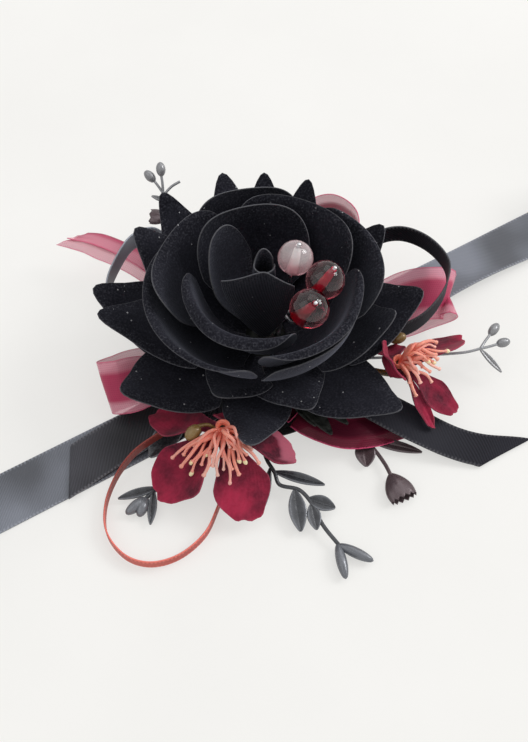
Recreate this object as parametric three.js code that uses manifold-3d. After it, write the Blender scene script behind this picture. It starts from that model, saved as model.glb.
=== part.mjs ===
// Tie-on wrist corsage: a black fabric rose with glass beads, two burgundy
// blossoms, ribbon loops and dark sprigs, all bound into one stem bundle on a
// felt-backed satin wrist ribbon. Millimetres, +Z up, table at z = 0, origin
// at the centre of the felt's underside.

import * as THREE from 'three';
import { mergeVertices } from 'three/addons/utils/BufferGeometryUtils.js';
import Module from 'manifold-3d';

const wasm = await Module();
wasm.setup();

// Driving dimensions
const CLEARANCE = 0.3;          // left between pieces that touch
const SATIN = 0.45;             // thickness of the satin ribbons
const ORGANZA = 0.4;            // thickness of the sheer ribbons
const VELVET = 0.5;             // thickness of a rose petal
const BLOSSOM_CLOTH = 0.5;      // thickness of a blossom's cloth

const FELT_RADIUS = 22;
const FELT_THICKNESS = 1.5;

const RIBBON_WIDTH = 16;
const RIBBON_TURN = 31;         // degrees from +X to the ribbon's right end
const LEFT_REACH = 104;         // origin to the axis of the left roll
const RIGHT_REACH = 118;        // origin to the axis of the right roll
const RIGHT_TILT = 13;          // degrees that the right stretch leans back
const ROLL_OUTSIDE = 11;        // radius of the outermost turn
const ROLL_INSIDE = 4;          // radius of the innermost turn
const ROLL_PITCH = 1.5;         // from one turn to the next
const STEPS_PER_TURN = 20;

const ROSE_AXIS = new THREE.Vector2(0, 2);
const BUNDLE_RADIUS = 13;
const BUNDLE_HEIGHT = 7;
const LAYER_PITCH = 0.9;        // radial step from one petal layer to the next
const LAYER_DROP = 0.7;         // fall from one petal layer to the next
const INNER_BASE = 1.5;         // radius where the innermost petal is fixed
const RECEPTACLE_HEIGHT = 9.4;  // foot of the receptacle to its point

const BEAD_WIRE = 0.9;          // diameter of the wires that carry the beads
const STEM = 1.8;               // diameter of blossom stems
const SPRIG_STEM = 1.1;         // diameter of the stout sprig stems
const TWIG = 0.8;               // diameter of the thin sprig stems
const CORAL_WIDTH = 3;
const LOOP_WIDTH = 6;           // width of the narrow satin loops
const ORGANZA_WIDTH = 15;

// Heights that follow from the sizes above
const RIBBON_UNDERSIDE = FELT_THICKNESS + CLEARANCE;
const RIBBON_TOP = RIBBON_UNDERSIDE + SATIN;
const BUNDLE_FOOT = RIBBON_TOP + CLEARANCE;
const BUNDLE_TOP = BUNDLE_FOOT + BUNDLE_HEIGHT;
const RECEPTACLE_FOOT = BUNDLE_TOP + CLEARANCE;
const RECEPTACLE_POINT = RECEPTACLE_FOOT + RECEPTACLE_HEIGHT;
const CONE_SLOPE = LAYER_DROP / LAYER_PITCH;
const PETAL_SEAT = 0.6;         // height of a petal's lower edge above the cone

const rad = THREE.MathUtils.degToRad;
const lerp = THREE.MathUtils.lerp;
const vec = (x, y, z) => new THREE.Vector3(x, y, z);

const corsage = new THREE.Group();

const COLOURS = {
  velvet: [0x1e1e24, 0.95, 0],
  satin: [0x3a3d45, 0.4, 0],
  organza: [0xb0305c, 0.6, 0],
  blossom: [0x96203f, 0.8, 0],
  stamen: [0xee8270, 0.6, 0],
  coral: [0xdc6455, 0.45, 0],
  sprig: [0x46484e, 0.4, 0],
  gold: [0x967d3c, 0.5, 0],
  glass: [0xc04a5a, 0.05, 0],
  wire: [0xb8b8b8, 0.3, 1],
  felt: [0x202022, 1, 0],
  tape: [0x2b3a2a, 0.8, 0],
};

function add(name, geometry, finish) {
  const [color, roughness, metalness] = COLOURS[finish];
  const mesh = new THREE.Mesh(geometry, new THREE.MeshStandardMaterial({ color, roughness, metalness }));
  mesh.name = name;
  corsage.add(mesh);
}

// Closed bodies

function signedVolume(positions, index) {
  let six = 0;
  const [a, b, c] = [vec(), vec(), vec()];
  for (let i = 0; i < index.length; i += 3) {
    a.fromArray(positions, 3 * index[i]);
    b.fromArray(positions, 3 * index[i + 1]);
    c.fromArray(positions, 3 * index[i + 2]);
    six += a.dot(b.cross(c));
  }
  return six / 6;
}

function body(positions, index) {
  if (signedVolume(positions, index) < 0) {
    for (let i = 0; i < index.length; i += 3) {
      [index[i], index[i + 1]] = [index[i + 1], index[i]];
    }
  }
  const geometry = new THREE.BufferGeometry();
  geometry.setAttribute('position', new THREE.Float32BufferAttribute(positions, 3));
  geometry.setIndex(index);
  return geometry;
}

// A sheet of even thickness on a grid of mid-surface points (rows of points).
// The two faces are offset along the grid's normals and joined round the rim.
// A closed sheet also joins the last point of each row to the first.
function sheet(rows, thickness, closed = false) {
  const nv = rows.length;
  const nu = rows[0].length;
  const at = (j, i) => rows[THREE.MathUtils.clamp(j, 0, nv - 1)][
    closed ? (i + nu) % nu : THREE.MathUtils.clamp(i, 0, nu - 1)];
  const positions = [];
  for (const side of [1, -1]) {
    for (let j = 0; j < nv; j++) {
      for (let i = 0; i < nu; i++) {
        const across = at(j, i + 1).clone().sub(at(j, i - 1));
        const along = at(j + 1, i).clone().sub(at(j - 1, i));
        const normal = across.cross(along).normalize();
        const point = rows[j][i].clone().addScaledVector(normal, side * thickness / 2);
        positions.push(point.x, point.y, point.z);
      }
    }
  }
  const id = (side, j, i) => side * nu * nv + j * nu + (i % nu);
  const index = [];
  const quad = (a, b, c, d) => index.push(a, b, c, a, c, d);
  const spans = closed ? nu : nu - 1;
  for (let j = 0; j < nv - 1; j++) {
    for (let i = 0; i < spans; i++) {
      quad(id(0, j, i), id(0, j, i + 1), id(0, j + 1, i + 1), id(0, j + 1, i));
      quad(id(1, j, i), id(1, j + 1, i), id(1, j + 1, i + 1), id(1, j, i + 1));
    }
  }
  for (let i = 0; i < spans; i++) {
    quad(id(0, 0, i), id(1, 0, i), id(1, 0, i + 1), id(0, 0, i + 1));
    quad(id(0, nv - 1, i), id(0, nv - 1, i + 1), id(1, nv - 1, i + 1), id(1, nv - 1, i));
  }
  if (!closed) {
    for (let j = 0; j < nv - 1; j++) {
      quad(id(0, j, 0), id(0, j + 1, 0), id(1, j + 1, 0), id(1, j, 0));
      quad(id(0, j, nu - 1), id(1, j, nu - 1), id(1, j + 1, nu - 1), id(0, j + 1, nu - 1));
    }
  }
  return body(positions, index);
}

// A grid of points from a function of two parameters that run from 0 to 1.
function grid(point, nu, nv) {
  return Array.from({ length: nv + 1 }, (_, j) =>
    Array.from({ length: nu + 1 }, (_, i) => point(i / nu, j / nv)));
}

// A round rod along a smooth curve, whose radius may change along it.
function rod(points, radius, sides = 5, steps = 4 * (points.length - 1)) {
  const curve = new THREE.CatmullRomCurve3(points, false, 'centripetal');
  const frames = curve.computeFrenetFrames(steps, false);
  const size = typeof radius === 'function' ? radius : () => radius;
  const positions = [];
  const index = [];
  for (let j = 0; j <= steps; j++) {
    const centre = curve.getPointAt(j / steps);
    for (let i = 0; i < sides; i++) {
      const a = 2 * Math.PI * i / sides;
      const p = centre.clone()
        .addScaledVector(frames.normals[j], size(j / steps) * Math.cos(a))
        .addScaledVector(frames.binormals[j], size(j / steps) * Math.sin(a));
      positions.push(p.x, p.y, p.z);
    }
  }
  const id = (j, i) => j * sides + (i % sides);
  for (let j = 0; j < steps; j++) {
    for (let i = 0; i < sides; i++) {
      index.push(id(j, i), id(j, i + 1), id(j + 1, i + 1), id(j, i), id(j + 1, i + 1), id(j + 1, i));
    }
  }
  for (let i = 1; i < sides - 1; i++) {
    index.push(id(0, 0), id(0, i + 1), id(0, i));
    index.push(id(steps, 0), id(steps, i), id(steps, i + 1));
  }
  return body(positions, index);
}

function solid(geometry) {
  const bare = geometry.clone();
  bare.deleteAttribute('normal');
  bare.deleteAttribute('uv');
  const merged = mergeVertices(bare, 1e-4);
  return new wasm.Manifold(new wasm.Mesh({
    numProp: 3,
    vertProperties: new Float32Array(merged.attributes.position.array),
    triVerts: new Uint32Array(merged.index.array),
  }));
}

function fuse(geometries) {
  const mesh = geometries.map(solid).reduce((a, b) => a.add(b)).getMesh();
  return body(Array.from(mesh.vertProperties), Array.from(mesh.triVerts));
}

function lathe(profile, segments) {
  const geometry = new THREE.LatheGeometry(profile.map(([r, z]) => new THREE.Vector2(r, z)), segments);
  geometry.rotateX(Math.PI / 2);
  geometry.deleteAttribute('normal');
  geometry.deleteAttribute('uv');
  const merged = mergeVertices(geometry, 1e-4);
  return body(Array.from(merged.attributes.position.array), Array.from(merged.index.array));
}

// Felt backing and wrist ribbon

const feltEdge = 0.35;
add('felt_backing', lathe([
  [0, 0], [FELT_RADIUS - feltEdge, 0], [FELT_RADIUS, feltEdge],
  [FELT_RADIUS, FELT_THICKNESS - feltEdge], [FELT_RADIUS - feltEdge, FELT_THICKNESS], [0, FELT_THICKNESS],
], 28), 'felt');

const HINGE_OUT = FELT_RADIUS + CLEARANCE;   // fold line of each tail, from the origin
const ribbonRight = vec(Math.cos(rad(RIBBON_TURN)), Math.sin(rad(RIBBON_TURN)), 0);
const ribbonAcross = vec(-Math.sin(rad(RIBBON_TURN)), Math.cos(rad(RIBBON_TURN)), 0);

// One row across a ribbon, leaning about its length by an angle in degrees.
function ribbonRow(centre, across, width, lean = 0) {
  const half = across.clone().multiplyScalar(Math.cos(rad(lean)));
  half.z -= Math.sin(rad(lean));
  half.multiplyScalar(width / 2);
  return [centre.clone().sub(half), centre.clone().add(half)];
}

const centreHalf = HINGE_OUT - CLEARANCE / 2;
const ribbonCentre = [-1, -0.5, 0, 0.5, 1].map((share) => ribbonRow(
  ribbonRight.clone().multiplyScalar(share * centreHalf).setZ(RIBBON_UNDERSIDE + SATIN / 2),
  ribbonAcross, RIBBON_WIDTH));
add('wrist_ribbon_centre', sheet(ribbonCentre, SATIN), 'satin');

// A tail leaves the felt's edge, comes down to the table, runs straight and
// ends in a roll that winds inwards from below.
const TAIL_REST = SATIN / 2 + 0.1;          // mid-height of a tail that lies flat
const TAIL_FALL = 13;                       // length over which it comes down
function ribbonTail(outward, reach, tilt) {
  const straight = 10;
  const rows = [];
  const start = HINGE_OUT + CLEARANCE / 2;
  for (let j = 0; j <= straight; j++) {
    const out = lerp(start, reach, j / straight);
    const fall = THREE.MathUtils.smoothstep(out, start, start + TAIL_FALL);
    const lean = tilt * Math.sin(Math.PI * THREE.MathUtils.smoothstep(out, start, reach)) ** 1.2;
    const lift = RIBBON_WIDTH / 2 * Math.sin(rad(lean));
    const height = lerp(RIBBON_UNDERSIDE + SATIN / 2, TAIL_REST, fall) + lift;
    const centre = outward.clone().multiplyScalar(out).setZ(height);
    rows.push(ribbonRow(centre, ribbonAcross, RIBBON_WIDTH, lean));
  }
  const turns = (ROLL_OUTSIDE - ROLL_INSIDE) / ROLL_PITCH;
  const steps = Math.round(turns * STEPS_PER_TURN);
  const wound = [];
  for (let j = 1; j <= steps; j++) {
    const angle = 2 * Math.PI * turns * j / steps;
    const radius = ROLL_OUTSIDE - ROLL_PITCH * angle / (2 * Math.PI);
    const centre = outward.clone().multiplyScalar(reach + radius * Math.sin(angle))
      .setZ(TAIL_REST + ROLL_OUTSIDE - radius * Math.cos(angle));
    wound.push(centre);
    rows.push(ribbonRow(centre, ribbonAcross, RIBBON_WIDTH));
  }
  return { rows, wound };
}

function leastGap(points) {
  let least = Infinity;
  for (let i = 0; i < points.length; i++) {
    for (let j = i + STEPS_PER_TURN / 2; j < points.length; j++) {
      least = Math.min(least, points[i].distanceTo(points[j]));
    }
  }
  return least - SATIN;
}

const tails = {
  wrist_ribbon_left: ribbonTail(ribbonRight.clone().negate(), LEFT_REACH, 0),
  wrist_ribbon_right: ribbonTail(ribbonRight, RIGHT_REACH, RIGHT_TILT),
};
for (const [name, tail] of Object.entries(tails)) {
  console.log(`${name}: least gap between turns ${leastGap(tail.wound).toFixed(2)} mm`);
  add(name, sheet(tail.rows, SATIN), 'satin');
}

// Stem bundle and rose receptacle

function onRoseAxis(geometry) {
  return geometry.translate(ROSE_AXIS.x, ROSE_AXIS.y, 0);
}

add('stem_bundle', onRoseAxis(lathe([
  [0, BUNDLE_FOOT], [BUNDLE_RADIUS - 1, BUNDLE_FOOT], [BUNDLE_RADIUS, BUNDLE_FOOT + 1],
  [BUNDLE_RADIUS, BUNDLE_FOOT + 0.5 * BUNDLE_HEIGHT], [0.85 * BUNDLE_RADIUS, BUNDLE_TOP - 1],
  [0.6 * BUNDLE_RADIUS, BUNDLE_TOP], [0, BUNDLE_TOP],
], 24)), 'tape');

const LAYERS = 10;
const baseRadius = (layer) => INNER_BASE + layer * LAYER_PITCH;
const coneHeight = (radius) => RECEPTACLE_POINT - CONE_SLOPE * radius;
const baseHeight = (layer) => coneHeight(baseRadius(layer)) + PETAL_SEAT;
const coneRadius = baseRadius(LAYERS);
add('rose_receptacle', onRoseAxis(lathe([
  [0, RECEPTACLE_FOOT], [0.55 * coneRadius, RECEPTACLE_FOOT], [0.9 * coneRadius, RECEPTACLE_FOOT + 0.4],
  [coneRadius, coneHeight(coneRadius)], [0, RECEPTACLE_POINT],
], 24)), 'tape');

// Rose petals

function bezier(points, s) {
  let level = points;
  while (level.length > 1) {
    level = level.slice(1).map((p, i) => [lerp(level[i][0], p[0], s), lerp(level[i][1], p[1], s)]);
  }
  return level[0];
}

// A petal is a strip of a surface of revolution. Its profile rises from its
// layer's place on the receptacle through the listed radius and height pairs.
// side is the share of the profile that its edges reach, and point shapes the
// outline between edges and middle: below 1 a pointed kite, above 3 a round top.
// flare widens the radius towards the two edges as the petal rises, and crest
// lifts the rim by a height towards an azimuth.
const TIP_ROUND = 0.02;         // share of the width that rounds a pointed tip
const PETAL_DEFAULTS = {
  side: 0.6, point: 5, flare: [0, 0], crest: [0, 0], foot: 0.6, across: 7, up: 5,
};

function petal(shape) {
  const { layer, from, to, rise, side, point, flare, crest, foot, across, up } = {
    ...PETAL_DEFAULTS, ...shape };
  const middle = rad((from + to) / 2);
  const half = rad((to - from) / 2);
  const profile = [[baseRadius(layer), baseHeight(layer)], ...rise];
  return sheet(grid((u, v) => {
    const t = 2 * u - 1;
    const bow = Math.min(Math.hypot(t, TIP_ROUND), 1);
    const s = v * (side + (1 - side) * (1 - bow ** point));
    const [r, z] = bezier(profile, s);
    const spread = lerp(foot, 1, THREE.MathUtils.smoothstep(s, 0, 0.6));
    const angle = middle + t * half * spread;
    const radius = r * (1 + s * (flare[0] * t + flare[1] * t * t));
    const lift = crest[1] * s * s * Math.max(Math.cos(angle - rad(crest[0])), 0) ** 2;
    return vec(ROSE_AXIS.x + radius * Math.cos(angle), ROSE_AXIS.y + radius * Math.sin(angle), z + lift);
  }, across, up), VELVET);
}

const PETALS = {
  petal_centre_roll: { layer: 0, from: 40, to: 375, foot: 1, side: 0.97, crest: [95, 3], across: 12, up: 4,
    rise: [[2.2, 28], [3.3, 38], [2.7, 46]] },
  petal_front_bud: { layer: 1, from: 195, to: 329, side: 0.86, point: 2.5, flare: [-0.3, 1.4],
    rise: [[4.5, 24], [5.5, 36], [4.2, 48]] },
  petal_inner_left: { layer: 2, from: 106, to: 188, side: 0.66, point: 2.5, crest: [112, 4], across: 6,
    rise: [[9, 24], [14, 35], [14.5, 46]] },
  petal_cup_back: { layer: 3, from: 46, to: 158, rise: [[12, 22], [20.5, 32], [21, 45]] },
  petal_cup_front: { layer: 3, from: 172, to: 298, point: 7, across: 9, up: 6,
    rise: [[13, 21], [20, 33], [17, 47], [23, 38]] },
  petal_cup_right_back: { layer: 4, from: 14, to: 112,
    rise: [[14, 20.5], [23, 31], [23.5, 41], [26.5, 43]] },
  petal_cup_right_front: { layer: 4, from: 266, to: 373, point: 7,
    rise: [[16, 20], [24, 31], [21.5, 44.5], [27, 38]] },
  petal_cup_left: { layer: 4, from: 113, to: 202,
    rise: [[15, 20.5], [24, 31], [25, 40], [28.5, 41.5]] },
  petal_mid_right: { layer: 5, from: -12, to: 64,
    rise: [[17, 18], [28, 28], [28.5, 41], [31.5, 39.5]] },
  petal_mid_back: { layer: 5, from: 66, to: 134,
    rise: [[17, 18], [28, 28], [29.5, 34], [30.5, 41]] },
  petal_mid_left: { layer: 5, from: 140, to: 266, flare: [-0.05, -0.1], point: 10, across: 8,
    rise: [[17, 18], [28, 26], [26.5, 39], [31, 36.5]] },
  petal_mid_front: { layer: 5, from: 268, to: 346, point: 10,
    rise: [[16, 17.5], [24, 25], [25, 35.5]] },
};

// The pointed outer petals, as azimuth, half span, tip radius and tip height.
// Every second petal of a whorl lies one layer lower, under its neighbours.
const POINTED = [
  { name: 'petal_upper', layer: 6, belly: [[18, 15.8], [27, 21]], side: 0.44, point: 0.95,
    tips: [[-116, 36, 27, 23.5], [-65, 40, 28.8, 20], [-9, 36, 35, 34], [36, 36, 40, 34], [147, 36, 42, 34],
      [182, 34, 44, 28]] },
  { name: 'petal_lower', layer: 8, belly: [[20, 12.6], [32, 15.6]], side: 0.46, point: 0.95,
    tips: [[-148, 32, 44, 24], [-38, 27, 44, 22], [10, 34, 44, 26], [90, 25, 47.5, 30], [127, 27, 48, 32],
      [169, 34, 47, 25]] },
];
POINTED.forEach((whorl) => whorl.tips.forEach(([azimuth, half, radius, height], i) => {
  const under = i % 2;
  PETALS[`${whorl.name}_${i + 1}`] = {
    layer: whorl.layer + under, from: azimuth - half, to: azimuth + half,
    side: whorl.side, point: whorl.point, across: 6, up: 5,
    rise: [...whorl.belly.map(([r, z]) => [r, z - under * LAYER_PITCH]), [radius, height]],
  };
}));
// The two upper petals at the front lie flatter than the others and end in a sharper point.
PETALS.petal_upper_1.rise.splice(0, 2, [15, 15.2], [22, 18]);
PETALS.petal_upper_2.rise.splice(0, 2, [15, 14.3], [22, 17.1]);
const FRONT_POINT = 0.7;
PETALS.petal_upper_1.point = FRONT_POINT;
PETALS.petal_upper_2.point = FRONT_POINT;
// Three more petals fill the back, the front and the right back.
PETALS.petal_upper_back = { ...PETALS.petal_upper_4, from: 105 - 29, to: 105 + 29,
  rise: [[18, 14.9], [27, 20.1], [46, 33]] };
PETALS.petal_lower_front = { ...PETALS.petal_lower_2, from: -95 - 30, to: -95 + 30, point: FRONT_POINT,
  rise: [[20, 11], [30, 14.2], [39.3, 23.8]] };
PETALS.petal_lower_back = { ...PETALS.petal_lower_1, from: 73 - 26, to: 73 + 26,
  rise: [[20, 12.6], [32, 15.6], [43, 33.5]] };

for (const [name, shape] of Object.entries(PETALS)) {
  add(name, petal(shape), 'velvet');
}

// Glass beads, each free to turn on its wire. The three wires meet in one
// twisted foot that stands on the receptacle, in the gap of the rose's right side.

const BEAD_BORE = BEAD_WIRE + 2 * CLEARANCE;
const PICK_ANGLE = -13;
const PICK_LAYER = 3;
const TWIST_HEIGHT = 12;        // height of the twisted foot
const BEADS = [
  { diameter: 9, centre: vec(7.9, 4, 46), lean: vec(0.16, 0.04, 1) },
  { diameter: 10, centre: vec(15.4, -0.6, 43), lean: vec(0.42, -0.05, 1) },
  { diameter: 10, centre: vec(11.2, -9.6, 43), lean: vec(0.26, -0.4, 1) },
];

function bead(diameter) {
  const bore = BEAD_BORE / 2;
  const start = Math.asin(bore / (diameter / 2));
  const rings = 8;
  const profile = [];
  for (let j = 0; j <= rings; j++) {
    const a = lerp(start, Math.PI - start, j / rings);
    profile.push([diameter / 2 * Math.sin(a), -diameter / 2 * Math.cos(a)]);
  }
  profile.push(profile[0]);
  return lathe(profile, 14);
}

function polar(angle, radius, height) {
  const turn = rad(angle);
  return vec(ROSE_AXIS.x + radius * Math.cos(turn), ROSE_AXIS.y + radius * Math.sin(turn), height);
}

const pickRadius = baseRadius(PICK_LAYER) - LAYER_PITCH / 4;
const pickFoot = polar(PICK_ANGLE, pickRadius, coneHeight(pickRadius) + PETAL_SEAT + BEAD_WIRE / 2);
const twist = [0, 0.5, 1].map((share) => pickFoot.clone().add(vec(share, 0, share * TWIST_HEIGHT)));
const pickParts = [rod(twist, 0.8 * BEAD_WIRE, 5, 3)];
BEADS.forEach(({ diameter, centre, lean }, i) => {
  const axis = lean.clone().normalize();
  const geometry = bead(diameter);
  geometry.applyQuaternion(new THREE.Quaternion().setFromUnitVectors(vec(0, 0, 1), axis));
  geometry.translate(centre.x, centre.y, centre.z);
  add(`bead_${i + 1}`, geometry, 'glass');
  const below = centre.clone().addScaledVector(axis, -diameter / 2 - 2);
  const above = centre.clone().addScaledVector(axis, diameter / 2 + CLEARANCE);
  pickParts.push(rod([pickFoot.clone().add(vec(0.9, 0, 10)), below.clone().lerp(pickFoot, 0.4), below],
    BEAD_WIRE / 2, 5, 4));
  pickParts.push(rod([below.clone().addScaledVector(axis, -0.4), above.clone().addScaledVector(axis, 0.5)],
    BEAD_WIRE / 2, 5, 1));
  pickParts.push(rod([above, above.clone().addScaledVector(axis, 0.8)], BEAD_BORE / 2 + CLEARANCE, 6, 1));
});
add('bead_pick', fuse(pickParts), 'wire');

// Blossoms: a cloth collar with five lobes on a plastic stem that carries the
// stamens. A lobe is its azimuth, length, width, lift and roll about its length.

const ANTHER = 0.6;
const FILAMENT = 0.35;
const COROLLA_HOLE = STEM / 2 + CLEARANCE;
const COLLAR = 3.6;             // radius of the collar that joins the lobes
const LOBE_FOOT = COLLAR - 1;

function lobe(centre, [azimuth, length, width, lift, roll = 0]) {
  const out = vec(Math.cos(rad(azimuth)), Math.sin(rad(azimuth)), 0);
  const side = vec(-Math.sin(rad(azimuth)), Math.cos(rad(azimuth)), 0);
  return sheet(grid((u, v) => {
    const t = 2 * u - 1;
    const s = v * (0.5 + 0.5 * (1 - Math.abs(t) ** 2.2));
    const bend = THREE.MathUtils.smoothstep(s, 0, 0.5);
    const rise = rad(lift) * bend;
    const wide = t * width / 2 * lerp(0.35, 1, bend);
    const proud = 0.09 * width * t * t * bend;
    const run = lerp(LOBE_FOOT, length, s);
    const up = (run - LOBE_FOOT) * Math.sin(rise) + proud * Math.cos(rise)
      + wide * Math.sin(rad(roll) * bend);
    return centre.clone()
      .addScaledVector(out, run * Math.cos(rise) - proud * Math.sin(rise))
      .addScaledVector(side, wide * Math.cos(rad(roll) * bend))
      .add(vec(0, 0, up));
  }, 6, 6), BLOSSOM_CLOTH - 0.05);
}

function corolla(centre, lobes) {
  const ring = (radius) => Array.from({ length: 20 }, (_, i) => {
    const a = 2 * Math.PI * i / 20;
    return centre.clone().add(vec(radius * Math.cos(a), radius * Math.sin(a), 0));
  });
  const collar = sheet([ring(COROLLA_HOLE), ring(COLLAR)], BLOSSOM_CLOTH, true);
  return fuse([collar, ...lobes.map((shape) => lobe(centre, shape))]);
}

function stamens(centre, tips, route) {
  const collarTop = centre.z - BLOSSOM_CLOTH / 2 - CLEARANCE;
  const top = centre.clone().add(vec(0, 0, 2));
  const parts = [
    rod([...route, vec(centre.x, centre.y, centre.z - 3), top], STEM / 2, 5, 6),
    rod([vec(centre.x, centre.y, collarTop - 2.2), vec(centre.x, centre.y, collarTop)],
      (s) => lerp(STEM / 2, STEM, s), 8, 1),
  ];
  for (const tip of tips) {
    const end = vec(...tip);
    const middle = centre.clone().lerp(end, 0.45).setZ(Math.max(centre.z, end.z) + 2.4);
    parts.push(rod([top.clone().add(vec(0, 0, -0.5)), middle, end], FILAMENT, 3, 3));
    const anther = new THREE.OctahedronGeometry(ANTHER);
    parts.push(anther.translate(end.x, end.y, end.z));
  }
  return fuse(parts);
}

const FRONT_BLOSSOM = vec(-10.6, -28, 14);
add('blossom_front_petals', corolla(FRONT_BLOSSOM,
  [[219, 24.5, 17.5, -26], [290, 24.5, 16.5, -28], [-8, 22, 14, -16, -6], [155, 23, 13, -20],
    [80, 7, 8, -24]]), 'blossom');
add('blossom_front_stamens', stamens(FRONT_BLOSSOM, [
  [-24, -34.9, 12], [-21.6, -37.5, 12], [-18.6, -38.8, 11.5], [-15.6, -40.3, 12.3], [-11.8, -40.1, 12],
  [-8.7, -42.2, 11.5], [-6.2, -40.4, 13], [-4.8, -37.3, 15], [-1, -37.6, 14],
  [-2.8, -33.8, 14.7], [-13.5, -36.5, 15.5],
], [polar(-113, BUNDLE_RADIUS + CLEARANCE + 0.4, 7), vec(-8, -19, 8)]), 'stamen');

const RIGHT_BLOSSOM = vec(36.4, -7.8, 14);
add('blossom_right_petals', corolla(RIGHT_BLOSSOM,
  [[32, 22.5, 13, -9, -38], [-31, 20.5, 9, -26, 8], [-57, 19.5, 4.2, -28], [200, 8.8, 12.5, 62],
    [105, 8, 9, -14]]), 'blossom');
add('blossom_right_stamens', stamens(RIGHT_BLOSSOM, [
  [42.8, -4.7, 20], [46.5, -3.6, 19.5], [49.2, -5.3, 18], [46.7, -8.2, 18], [47.3, -9.9, 16],
  [44.9, -13.6, 15], [40.6, -17, 13.5], [43.5, -9.6, 19.5], [38.6, -14.5, 16],
], [polar(-14, BUNDLE_RADIUS + CLEARANCE + 0.4, 7), vec(25, -4, 8)]), 'stamen');

const BUD_STEM = 1;
function bud(from, to, radius, steps = 5) {
  return rod([from, to], (s) => 0.12 + radius * Math.sqrt(Math.sin(Math.PI * s)), 6, steps);
}

add('gold_bud_front', fuse([
  rod([vec(-12.4, -27.6, 15), vec(-14.4, -27.6, 16.3), vec(-16.4, -27.8, 16.6)], BUD_STEM / 2, 5, 2),
  bud(vec(-15.6, -27.7, 16.5), vec(-21, -28.4, 16.3), 1.6),
]), 'gold');
add('gold_bud_right', fuse([
  rod([polar(4, BUNDLE_RADIUS + CLEARANCE + BUD_STEM, 7.2), vec(25, 3, 9), vec(35, 0.6, 15)],
    BUD_STEM / 2, 5, 4),
  bud(vec(34.4, 0.6, 14.6), vec(38.8, 0.6, 16.6), 1.5),
]), 'gold');

// Ribbon tails and loops. Each station is a centre and the direction of the
// width there; gather is the share of the width left where it is bound. slant
// is how far one corner of the cut end stands ahead of the other.

const GATHER_SHARE = 0.3;       // share of the length over which a ribbon opens

function ribbon(stations, width, thickness, { steps, gather = [1, 1], slant = 0, crease = 0 }) {
  const centres = stations.map(([centre]) => (centre.isVector3 ? centre : vec(...centre)));
  const curve = new THREE.CatmullRomCurve3(centres, false, 'centripetal');
  const cutShare = Math.abs(slant) / curve.getLength();
  const acrosses = stations.map(([, a]) => vec(...a).normalize());
  const rows = [];
  for (let j = 0; j <= steps; j++) {
    const f = j / steps;
    const centre = curve.getPoint(f);
    const tangent = curve.getTangent(f);
    const place = Math.min(f * (stations.length - 1), stations.length - 1 - 1e-6);
    const at = Math.floor(place);
    const across = acrosses[at].clone().lerp(acrosses[at + 1], place - at);
    across.addScaledVector(tangent, -across.dot(tangent)).normalize();
    const open = lerp(gather[0], 1, THREE.MathUtils.smoothstep(f, 0, GATHER_SHARE))
      * lerp(gather[1], 1, THREE.MathUtils.smoothstep(1 - f, 0, GATHER_SHARE));
    const half = across.clone().multiplyScalar(width / 2 * open);
    const lead = slant ? slant / 2 * Math.max(0, 1 - (1 - f) / cutShare) : 0;
    const cut = tangent.clone().multiplyScalar(lead);
    const row = [centre.clone().sub(half).sub(cut), centre.clone().add(half).add(cut)];
    if (crease) {
      const normal = across.clone().cross(tangent).multiplyScalar(crease * open);
      row[0].copy(row[1]).addScaledVector(normal, 1);
      row.splice(1, 0, centre.clone().sub(half).sub(cut));
    }
    rows.push(row);
  }
  return sheet(rows, thickness);
}

const ROOT = BUNDLE_RADIUS + CLEARANCE + SATIN / 2;
const UP = [0, 0, 1];
const upright = (centres) => centres.map((centre) => [centre, UP]);
const ACROSS = ribbonAcross.toArray();

add('ribbon_tail_left', ribbon([
  [polar(211, ROOT, 3.1), ACROSS], [[-22, -12.6, 3], ACROSS], [[-34, -20, 1.9], ACROSS],
  [[-43, -26, 1.25], ACROSS], [[-52, -33, 1.25], ACROSS],
], 13.5, SATIN, { steps: 12, gather: [0.5, 1], slant: -9 }), 'satin');

add('ribbon_tail_right', ribbon([
  [polar(-29, ROOT, 5.4), [0.45, 0.9, 0]], [[26, -12.4, 6.4], [0.42, 0.9, 0.05]],
  [[40, -20.5, 5.6], [0.35, 0.94, 0.1]], [[51, -24.4, 2.2], [0.28, 0.96, 0]],
  [[58, -26, 1], [0.15, 1, 0]], [[65.5, -26.8, 0.8], [0.1, 1, 0]],
], 10, SATIN, { steps: 14, gather: [0.5, 1], slant: 14 }), 'satin');

const LEFT_FOLD = [0.27, -0.63, -0.72];
const LEFT_MIDDLE = [0.3, -0.85, -0.42];
add('organza_loop_left', ribbon([
  [polar(203, ROOT, 6.6), UP], [[-27, -7.5, 9.6], LEFT_MIDDLE], [[-38.5, -12.5, 11.2], LEFT_FOLD],
  [[-43, -11.6, 9.6], LEFT_FOLD], [[-39.5, -8.6, 7.9], LEFT_FOLD], [[-27, -3, 7.6], LEFT_MIDDLE],
  [polar(189, ROOT, 5.6), UP],
], ORGANZA_WIDTH, ORGANZA, { steps: 22, gather: [0.35, 0.3] }), 'organza');

add('organza_tail_upper_left', ribbon([
  [polar(142, ROOT, 6.4), UP], [[-25, 21.5, 9], [0.5, 0.5, 0.7]], [[-38, 30.5, 12], [0.5, 0.6, 0.6]],
  [[-49, 36.4, 12], [0.5, 0.7, 0.5]], [[-57.5, 39, 11.6], [0.4, 0.8, 0.4]],
], 8, ORGANZA, { steps: 12, gather: [0.6, 0.6], slant: -8, crease: 2.2 }), 'organza');

add('organza_loop_top', ribbon(upright([
  polar(72, ROOT, 6), [8.8, 28, 8.6], [11.6, 37.5, 11.5], [14.4, 43.6, 17], [20, 44, 18.5], [26, 39, 18],
  [26.5, 31.5, 15], [17, 20.5, 8.8], polar(54, ROOT, 6),
]), ORGANZA_WIDTH - 2, ORGANZA, { steps: 22, gather: [0.3, 0.3] }), 'organza');

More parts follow.
